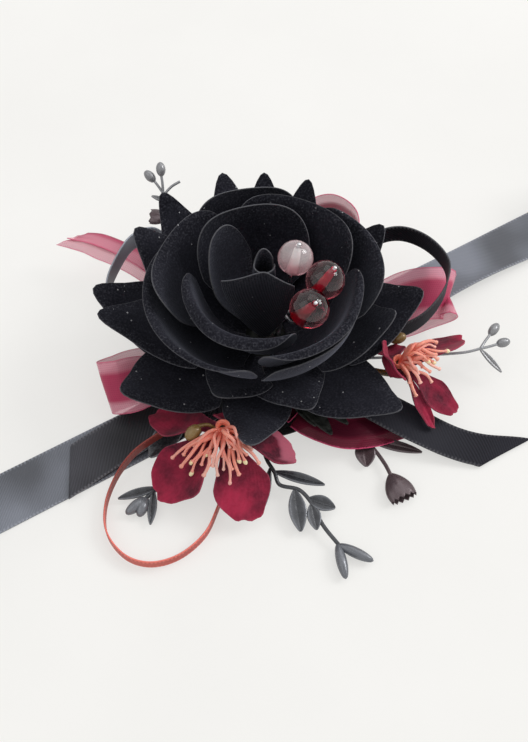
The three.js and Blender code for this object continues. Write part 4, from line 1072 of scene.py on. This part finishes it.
def stamen_parts(centre, tips, route):
    """The stem and its collar, an open tube in the middle, and filaments that arch out to their tips,
    each swayed a little to one side. Between two neighbouring tips stands a shorter and higher filament,
    and every second gap has another that is shorter still. Every fifth filament carries its anther."""
    centre = np.array(centre, float)
    top = centre + (0, 0, 2)
    stem = smooth_path([*route, centre - (0, 0, 3), top], 40)[0]
    collar = centre[2] - BLOSSOM_CLOTH / 2 - CLEARANCE
    cup = [(STEM / 2, collar - 2.2), (STEM, collar), (0.4, collar), (STEM / 2, collar - 2.2)]
    mouth = [(1.1, centre[2] + 0.6), (1.5, centre[2] + 2), (1.9, centre[2] + 3.4), (1.6, centre[2] + 3.5),
             (1.0, centre[2] + 2.2), (0.9, centre[2] + 0.6), (1.1, centre[2] + 0.6)]
    middle = np.array([centre[0], centre[1], 0])
    parts = [tube(stem, STEM / 2, stalk=1.0), part(turned(cup, 24) + middle, stalk=1.0),
             part(turned(mouth, 24) + middle)]
    tips = np.array(tips, float)
    gaps = (tips[1:] + tips[:-1]) / 2 - centre
    between = centre + BETWEEN_REACH * gaps + (0, 0, BETWEEN_RISE)
    inner = centre + INNER_REACH * gaps[::2] + (0, 0, INNER_RISE)
    for i, tip in enumerate(np.vstack([tips, between, inner])):
        sway = unit(np.cross(tip - centre, UP)) * 0.9 * np.sin(2.7 * i)
        arch = centre + 0.42 * (tip - centre) + sway
        arch[2] = max(centre[2], tip[2]) + 2.2 + 0.7 * np.sin(1.9 * i)
        beyond = centre + 0.78 * (tip - centre) - 0.6 * sway
        beyond[2] = (arch[2] + tip[2]) / 2 + 0.5
        line = smooth_path([top - (0, 0, 0.5), arch, beyond, tip], 36)[0]
        parts.append(filament(line, FILAMENT + 0.14 * np.sin(2.4 * i), rim=0.5 + 0.5 * np.sin(5.1 * i)))
        if i % ANTHER_EVERY == 2:
            head = tip + np.linspace(-0.8, 0.8, 9)[:, None] * unit(tip - arch)
            parts.append(tube(head, 0.56 * np.sqrt(1.05 - np.linspace(-1, 1, 9) ** 2), 10, pollen=1.0))
    return parts


BLOSSOMS = {
    "blossom_front": ((-10.6, -28, 14), [
        (219, 24.5, 17.5, -26), (290, 24.5, 16.5, -28), (-8, 24, 14, -16, -6, 0.45), (155, 23, 13, -20),
        (80, 7, 8, -24)], [
        (-24, -34.9, 12), (-21.6, -37.5, 12), (-18.6, -38.8, 11.5), (-15.6, -40.3, 12.3), (-11.8, -40.1, 12),
        (-8.7, -42.2, 11.5), (-6.2, -40.4, 13), (-4.8, -37.3, 15), (-1, -37.6, 14),
        (-2.8, -33.8, 14.7), (-13.5, -36.5, 15.5)], [polar(-113, BUNDLE_RADIUS + 0.7, 7), (-8, -19, 8)]),
    "blossom_right": ((36.4, -7.8, 14), [
        (32, 22.5, 13, -9, -38), (-31, 20.5, 9, -26, 8), (-57, 19.5, 4.2, -28), (200, 9.8, 15, 66),
        (105, 8, 9, -14)], [
        (42.8, -4.7, 20), (46.5, -3.6, 19.5), (49.2, -5.3, 18), (46.7, -8.2, 18), (47.3, -9.9, 16),
        (44.9, -13.6, 15), (40.6, -17, 13.5), (43.5, -9.6, 19.5), (38.6, -14.5, 16)],
        [polar(-14, BUNDLE_RADIUS + 0.7, 7), (25, -4, 8)]),
}
CURLED_LOBE = ("blossom_front", 2)
RIBBED_LOBE = ("blossom_right", 3)
CURL_HIGHLIGHT_ROWS = 0.8 * smoothstep(ease(LOBE_ROWS)[:, None], 0.74, 0.8)
for name, (centre, lobes, tips, route) in BLOSSOMS.items():
    washer = turned([(COROLLA_HOLE, 0), (COLLAR, 0)], 40)[:, ::-1] + np.array(centre)
    parts = cloth(washer, BLOSSOM_CLOTH, closed=True, edge=5.0, out=0.0)
    area = np.pi * COLLAR**2
    for i, lobe in enumerate(lobes):
        grid, s, t = lobe_grid(centre, *lobe, turn=2.1 * i)
        marks = dict(edge=petal_edge(grid), out=s, curled=0.0, ribbed=0.0)
        # One lobe gets a pale strip near its rim: a painted highlight on a curled-over edge.
        if (name, i) == CURLED_LOBE:
            marks.update(out=0.5 * s, curled=CURL_HIGHLIGHT_ROWS * smoothstep(t, -0.8, -0.6))
        if (name, i) == RIBBED_LOBE:
            marks.update(out=s + RIBBED_SHARE, ribbed=RIBBED_SHARE)
        parts += cloth(grid, BLOSSOM_CLOTH, **marks)
        area += grid_area(grid)
    petals = dress(name + "_petals", name + "_cloth", parts, BLOSSOM)
    dress(name + "_stamens", name + "_filaments", stamen_parts(centre, tips, route), STAMEN)
print("blossoms:", list(BLOSSOMS))

# %% [markdown]
# Sprigs are moulded plastic: jointed stems with narrow leaves that have a
# groove for a midrib, and plump buds. Their dark grey turns silvery on
# everything that stands proud, partly a silvery finish and partly painted
# highlight. Two olive-gold buds belong to the blossoms.

# %% Plastic finishes
def moulded(name, deep, pale, metallic):
    """Plastic that mottles between a deep and a pale silvery tone, which gathers by a mark on leaf rims,
    buds and
    proud parts: partly a silvery finish and partly painted highlight. The marks warm and faded turn it brown
    and light grey."""
    n = Finish(name, {"Metallic": metallic, "Specular IOR Level": 0.5})
    slow = n.mottle(380.0, detail=4.0)
    proud = n.math("MULTIPLY_ADD", n.mark("bloom"), 0.85, n.times(slow, 0.15), clamp=True)
    tone = n.mix(n.times(n.mark("warm"), 0.75), n.mix(proud, deep, pale), (0.1, 0.06, 0.066))
    tone = n.mix(n.mark("faded"), tone, (0.33, 0.33, 0.34))
    return n.done(Base_Color=tone, Roughness=n.mottle(900.0, low=0.18, high=0.34),
                  Normal=n.bump(slow, depth=0.12, strength=0.5))


SPRIG = moulded("sprig_plastic", (0.012, 0.013, 0.016), (0.22, 0.23, 0.255), metallic=0.25)
GOLD = moulded("bud_gold", (0.16, 0.1, 0.03), (0.42, 0.26, 0.1), metallic=0.1)
print("plastic finishes:", SPRIG.name, GOLD.name)

# %% Buds, leaves and stems
SPRIG_STEM = 1.1
TWIG = 0.8
BUD_STEM = 1.0
LEAF_THICKNESS = 0.5


def bud(start, end, radius, bloom=0.2):
    """A plump bud: a tube whose radius swells with the root of a sine."""
    s = np.linspace(0, 1, 25)
    line = np.array(start, float) + s[:, None] * (np.array(end, float) - start)
    return tube(line, 0.12 + radius * np.sqrt(np.sin(np.pi * s)), 16, bloom=bloom)


def leaf(start, end, width):
    """A narrow leaf: its breadth swells and shrinks with a sine along it, its sides lift a little, and a
    groove runs down the middle."""
    start, end = np.array(start, float), np.array(end, float)
    v, u = np.linspace(0, 1, 29)[:, None], np.linspace(-1, 1, 13)[None, :]
    breadth = 0.1 + 0.9 * np.sin(np.pi * v) ** 0.8
    across = unit(np.cross(end - start, UP)) * width / 2
    face = unit(np.cross(across, end - start))
    rise = 0.08 * width * breadth * u**2 - 0.16 * np.exp(-((u / 0.14) ** 2)) * breadth
    grid = start + v[..., None] * (end - start) + (u * breadth)[..., None] * across + rise[..., None] * face
    # Painted highlight: the rims, and a little more towards the tip, are paler.
    return cloth(grid, LEAF_THICKNESS, bloom=0.02 + 0.8 * np.abs(u) ** 5 + 0.12 * v)


def sprig(stems, leaves, buds, diameter=SPRIG_STEM, bloom=0.1):
    """Round stems along their paths, with leaves and buds."""
    parts = [tube(smooth_path(path, 8 * len(path))[0], diameter / 2, 9, bloom=bloom) for path in stems]
    for one in leaves:
        parts += leaf(*one)
    return parts + [bud(*one) for one in buds]


# %% Sprigs
SPRIG_ROOT = BUNDLE_RADIUS + CLEARANCE + SPRIG_STEM / 2
TOP_FORK = (-29.1, 44.6, 25.4)
RIGHT_FORK = (60.8, 2.6, 7.6)
SPRIGS = {
    "sprig_front": (
        [[polar(-86, SPRIG_ROOT, 5), (0.6, -20, 5.4), (0.3, -30.3, 5.6), (2.8, -35, 4.6), (4, -38, 3.8),
          (9.2, -39.4, 3.4), (12.4, -43, 3), (15.2, -49, 2.4), (19.4, -54.6, 1.8)]],
        [((2.6, -34.6, 4.6), (16, -38.2, 4), 3), ((11.4, -41.8, 3.1), (18.6, -44.2, 2.6), 4.2),
         ((12.4, -43, 3), (13.6, -50.4, 2.6), 3.6), ((8, -39.2, 3.4), (9.5, -50.7, 2.2), 4.6),
         ((1.6, -33.4, 4.8), (0, -43.9, 2.2), 2)],
        [((18.8, -54, 1.9), (20.6, -63.4, 1.6), 1.3, 0.7),
         ((19, -54.2, 1.9), (27.8, -58.6, 1.6), 1.3, 0.7)]),
    "sprig_left": (
        [[polar(-135, SPRIG_ROOT, 4.6), (-16, -19.5, 3.4), (-22.4, -29, 2.6), (-28, -38, 2),
          (-31.4, -41.4, 1.8)]],
        [((-28, -38, 2), (-38.4, -41.2, 1.9), 2.6), ((-29, -39, 2), (-29.5, -48.5, 1.6), 2.4)],
        [((-30.8, -40.8, 1.9), (-32.6, -46.4, 1.8), 1.4, 0.8),
         ((-31, -41, 1.9), (-36, -45.6, 1.8), 1.4, 0.8)]),
    "sprig_top": (
        [[polar(111, SPRIG_ROOT, 5.6), (-12, 28, 9), (-20.5, 38.5, 14), (-28.3, 43.3, 22),
          (-29.2, 44.8, 26)],
         [(-29, 44.4, 25), (-26.6, 46.2, 26.6), (-24.2, 47.2, 27.6)],
         [TOP_FORK, (-30.4, 46, 26.8), (-31.8, 47.2, 28.2)],
         [TOP_FORK, (-29.2, 46.2, 27.6), (-29.5, 48, 29.6)]],
        [((-28.6, 43.8, 23), (-32.5, 44.5, 24.5), 1.4)],
        [((-31.4, 46.9, 27.8), (-34.2, 49, 30), 1.25, 0.45),
         ((-29.4, 47.6, 29.2), (-29.8, 50.6, 32), 1.25, 0.45)],
        TWIG, 1.0),
    "sprig_right": (
        [[polar(-2, SPRIG_ROOT, 4.6), (30, 1.4, 4.6), (46, 1.2, 6.4), (56.6, 1.5, 7.4), (61.5, 2.8, 7.6)],
         [RIGHT_FORK, (62.4, 5, 7.8), (64.2, 7.4, 8)], [RIGHT_FORK, (63.4, 3.4, 7.4), (66, 4.4, 7.2)]],
        [((60.6, 2.6, 7.6), (66.6, -3.4, 4.6), 1.7)],
        [((63.8, 6.9, 8), (66.7, 10.8, 8), 1.25, 0.45), ((65.6, 4.3, 7.2), (69.6, 5.6, 7), 1.25, 0.45)],
        TWIG, 1.0),
    "seed_head": (
        [[polar(-53, SPRIG_ROOT, 4), (18, -16, 1.9), (28, -24, 1.6), (32.2, -30.4, 1.7),
          (33.8, -34.4, 1.9)]],
        [((27.2, -23.4, 1.65), (27.5, -31.4, 1.3), 5.5), ((28.4, -23.4, 1.65), (42.8, -27, 1.3), 3.2)], []),
    "dark_leaf": (
        [[polar(-147, SPRIG_ROOT, 5.2), (-17, -12.5, 5), (-23, -19, 4.4)]],
        [((-22, -17.8, 4.5), (-30.6, -29.6, 3.2), 7)], []),
}
SEED_FOOT = np.array([33.6, -33.8, 1.9])
SEED_HEADING = np.radians(-66)
CALYX_FOOT = np.array([-27.4, 41.4, 18.6])
CALYX_HEADING = np.radians(176)
PALE_SPRIGS = ("sprig_top", "sprig_right")
FADED = 0.6


def bell(foot, heading, size=1.0, count=13, flattened=0.45):
    """A seed bell turned about its length and flattened, whose mouth is cut into a count of teeth."""
    s = np.linspace(0, 1, 25)
    outside = np.stack(bezier([(0.4, 0), (2, 1), (4.8, 4.4), (3.6, 8)], s), -1)
    inside = np.stack(bezier([(3.6, 8), (3.4, 5.4), (2, 4), (0.05, 3.6)], s), -1)
    grid = turned([(0.05, 0), *outside, *inside[1:]], 104)
    angle = np.arctan2(grid[..., 1], grid[..., 0])
    teeth = np.abs((angle * count / (2 * np.pi)) % 1 - 0.5)
    grid[..., 2] += (0.5 - 1.6 * teeth) * smoothstep(grid[..., 2], 6, 8)
    mouth = np.array([np.cos(heading), np.sin(heading), 0])
    placed = grid[..., :1] * np.cross(UP, mouth) + flattened * grid[..., 1:2] * UP + grid[..., 2:] * mouth
    # The bell's teeth turn paler by the same mark, partly painted highlight.
    return part(foot + size * placed, bloom=0.25 + 0.5 * teeth, warm=1.0)


def add_mark(parts, name, value):
    """Gives all points of some parts the same number."""
    for one in parts:
        one["marks"][name] = np.full(len(one["points"]), value)


for node, lists in SPRIGS.items():
    parts = sprig(*lists)
    if node in PALE_SPRIGS:
        add_mark(parts, "faded", FADED)
    if node == "seed_head":
        add_mark(parts, "warm", 1.0)
        parts.append(bell(SEED_FOOT, SEED_HEADING))
    if node == "sprig_top":
        parts.append(bell(CALYX_FOOT, CALYX_HEADING, size=0.72, count=6))
    dress(node, node + "_plastic", parts, SPRIG)

GOLD_BUDS = {
    "gold_bud_front": ([(-12.4, -27.6, 15), (-14.4, -27.2, 16.3), (-17, -27.8, 16.8)],
                       ((-16.6, -27.7, 16.8), (-20, -31, 15.2), 1.7)),
    "gold_bud_right": ([polar(4, BUNDLE_RADIUS + CLEARANCE + BUD_STEM, 7.2), (25, 3, 9), (35, 0.6, 15)],
                       ((34.4, 0.6, 14.6), (38.8, 0.6, 16.6), 1.5)),
}
for node, (stem, tip) in GOLD_BUDS.items():
    line = smooth_path(stem, 24)[0]
    dress(node, node + "_plastic", [tube(line, BUD_STEM / 2), bud(*tip)], GOLD)
print("sprigs:", list(SPRIGS), "buds:", list(GOLD_BUDS))

# %% [markdown]
# Below everything lie the pieces that are seen only from the side: the felt
# pad, the bundle of stems wound with floral tape, and the rose's receptacle,
# whose sepals show at the front.

# %% Felt and taped bundle
def felt_finish():
    """Matted fibres, mottled and embossed by one noise, with specks of lint."""
    n = Finish("felt_black", {
        "Roughness": 1.0, "Specular IOR Level": 0.1, "Sheen Weight": 0.15})
    fibres = n.mottle(1300.0, detail=6.0)
    tone = n.mix(fibres, (0.008, 0.008, 0.009), (0.03, 0.03, 0.032))
    tone = n.mix(n.lint(cell_scale=260.0, share=0.25, size=0.06), tone, (0.25, 0.25, 0.26))
    return n.done(Base_Color=tone, Normal=n.bump(fibres, depth=0.25, strength=0.8))


def tape_finish():
    """Crinkled waxed paper tape, wound at a slant: thread bands along the height for its laps."""
    n = Finish("floral_tape", {"Specular IOR Level": 0.35})
    laps = n.threads(across=0.03, along=0.35)
    crinkle = n.mottle(900.0, detail=5.0)
    share = n.math("MULTIPLY_ADD", laps, 0.6, n.times(crinkle, 0.4))
    tone = n.mix(share, (0.006, 0.0075, 0.006), (0.014, 0.016, 0.013))
    relief = n.math("ADD", laps, crinkle)
    return n.done(Base_Color=tone, Roughness=n.mottle(700.0, low=0.5, high=0.75),
                  Normal=n.bump(relief, depth=0.25, strength=0.7))


def rounded(profile, count=60):
    """A smooth line through a profile's points."""
    flat = np.array([(r, 0, z) for r, z in profile], float)
    return smooth_path(flat, count)[0][:, [0, 2]]


BEVEL = 0.35
CONE_LAYERS = 10
SEPALS = [((6.5, -9, 9.2), (18, -26, 9.2), 5), ((5.5, -9.2, 9.2), (13.8, -23.4, 9.2), 4.4),
          ((8, -8, 9.2), (22.4, -22.8, 9.2), 4.4)]
felt_side = [(0, 0), (FELT_RADIUS - BEVEL, 0), (FELT_RADIUS, BEVEL), (FELT_RADIUS, FELT_THICKNESS - BEVEL),
             (FELT_RADIUS - BEVEL, FELT_THICKNESS), (0, FELT_THICKNESS)]
felt = dress("felt_backing", "felt_pad", [part(turned(felt_side, 96))], felt_finish())

TAPE = tape_finish()
axis = np.array([*ROSE_AXIS, 0])
bundle = rounded([(BUNDLE_RADIUS - 1, BUNDLE_FOOT), (BUNDLE_RADIUS, BUNDLE_FOOT + 1),
                  (BUNDLE_RADIUS, BUNDLE_FOOT + 3.5), (0.85 * BUNDLE_RADIUS, BUNDLE_TOP - 1),
                  (0.6 * BUNDLE_RADIUS, BUNDLE_TOP)])
bundle = np.vstack([(0, BUNDLE_FOOT), bundle, (0, BUNDLE_TOP)])
dress("stem_bundle", "taped_bundle", [part(turned(bundle, 72) + axis)], TAPE)
cone = FIRST_LAYER + CONE_LAYERS * LAYER_PITCH
seat = [(0, RECEPTACLE_FOOT), (0.55 * cone, RECEPTACLE_FOOT), (0.9 * cone, RECEPTACLE_FOOT + 0.4),
        (cone, cone_height(cone)), (0, RECEPTACLE_POINT)]
sepals = [piece for one in SEPALS for piece in leaf(*one)]
dress("rose_receptacle", "taped_receptacle", [part(turned(seat, 72) + axis), *sepals], TAPE)
print("felt, bundle and receptacle")
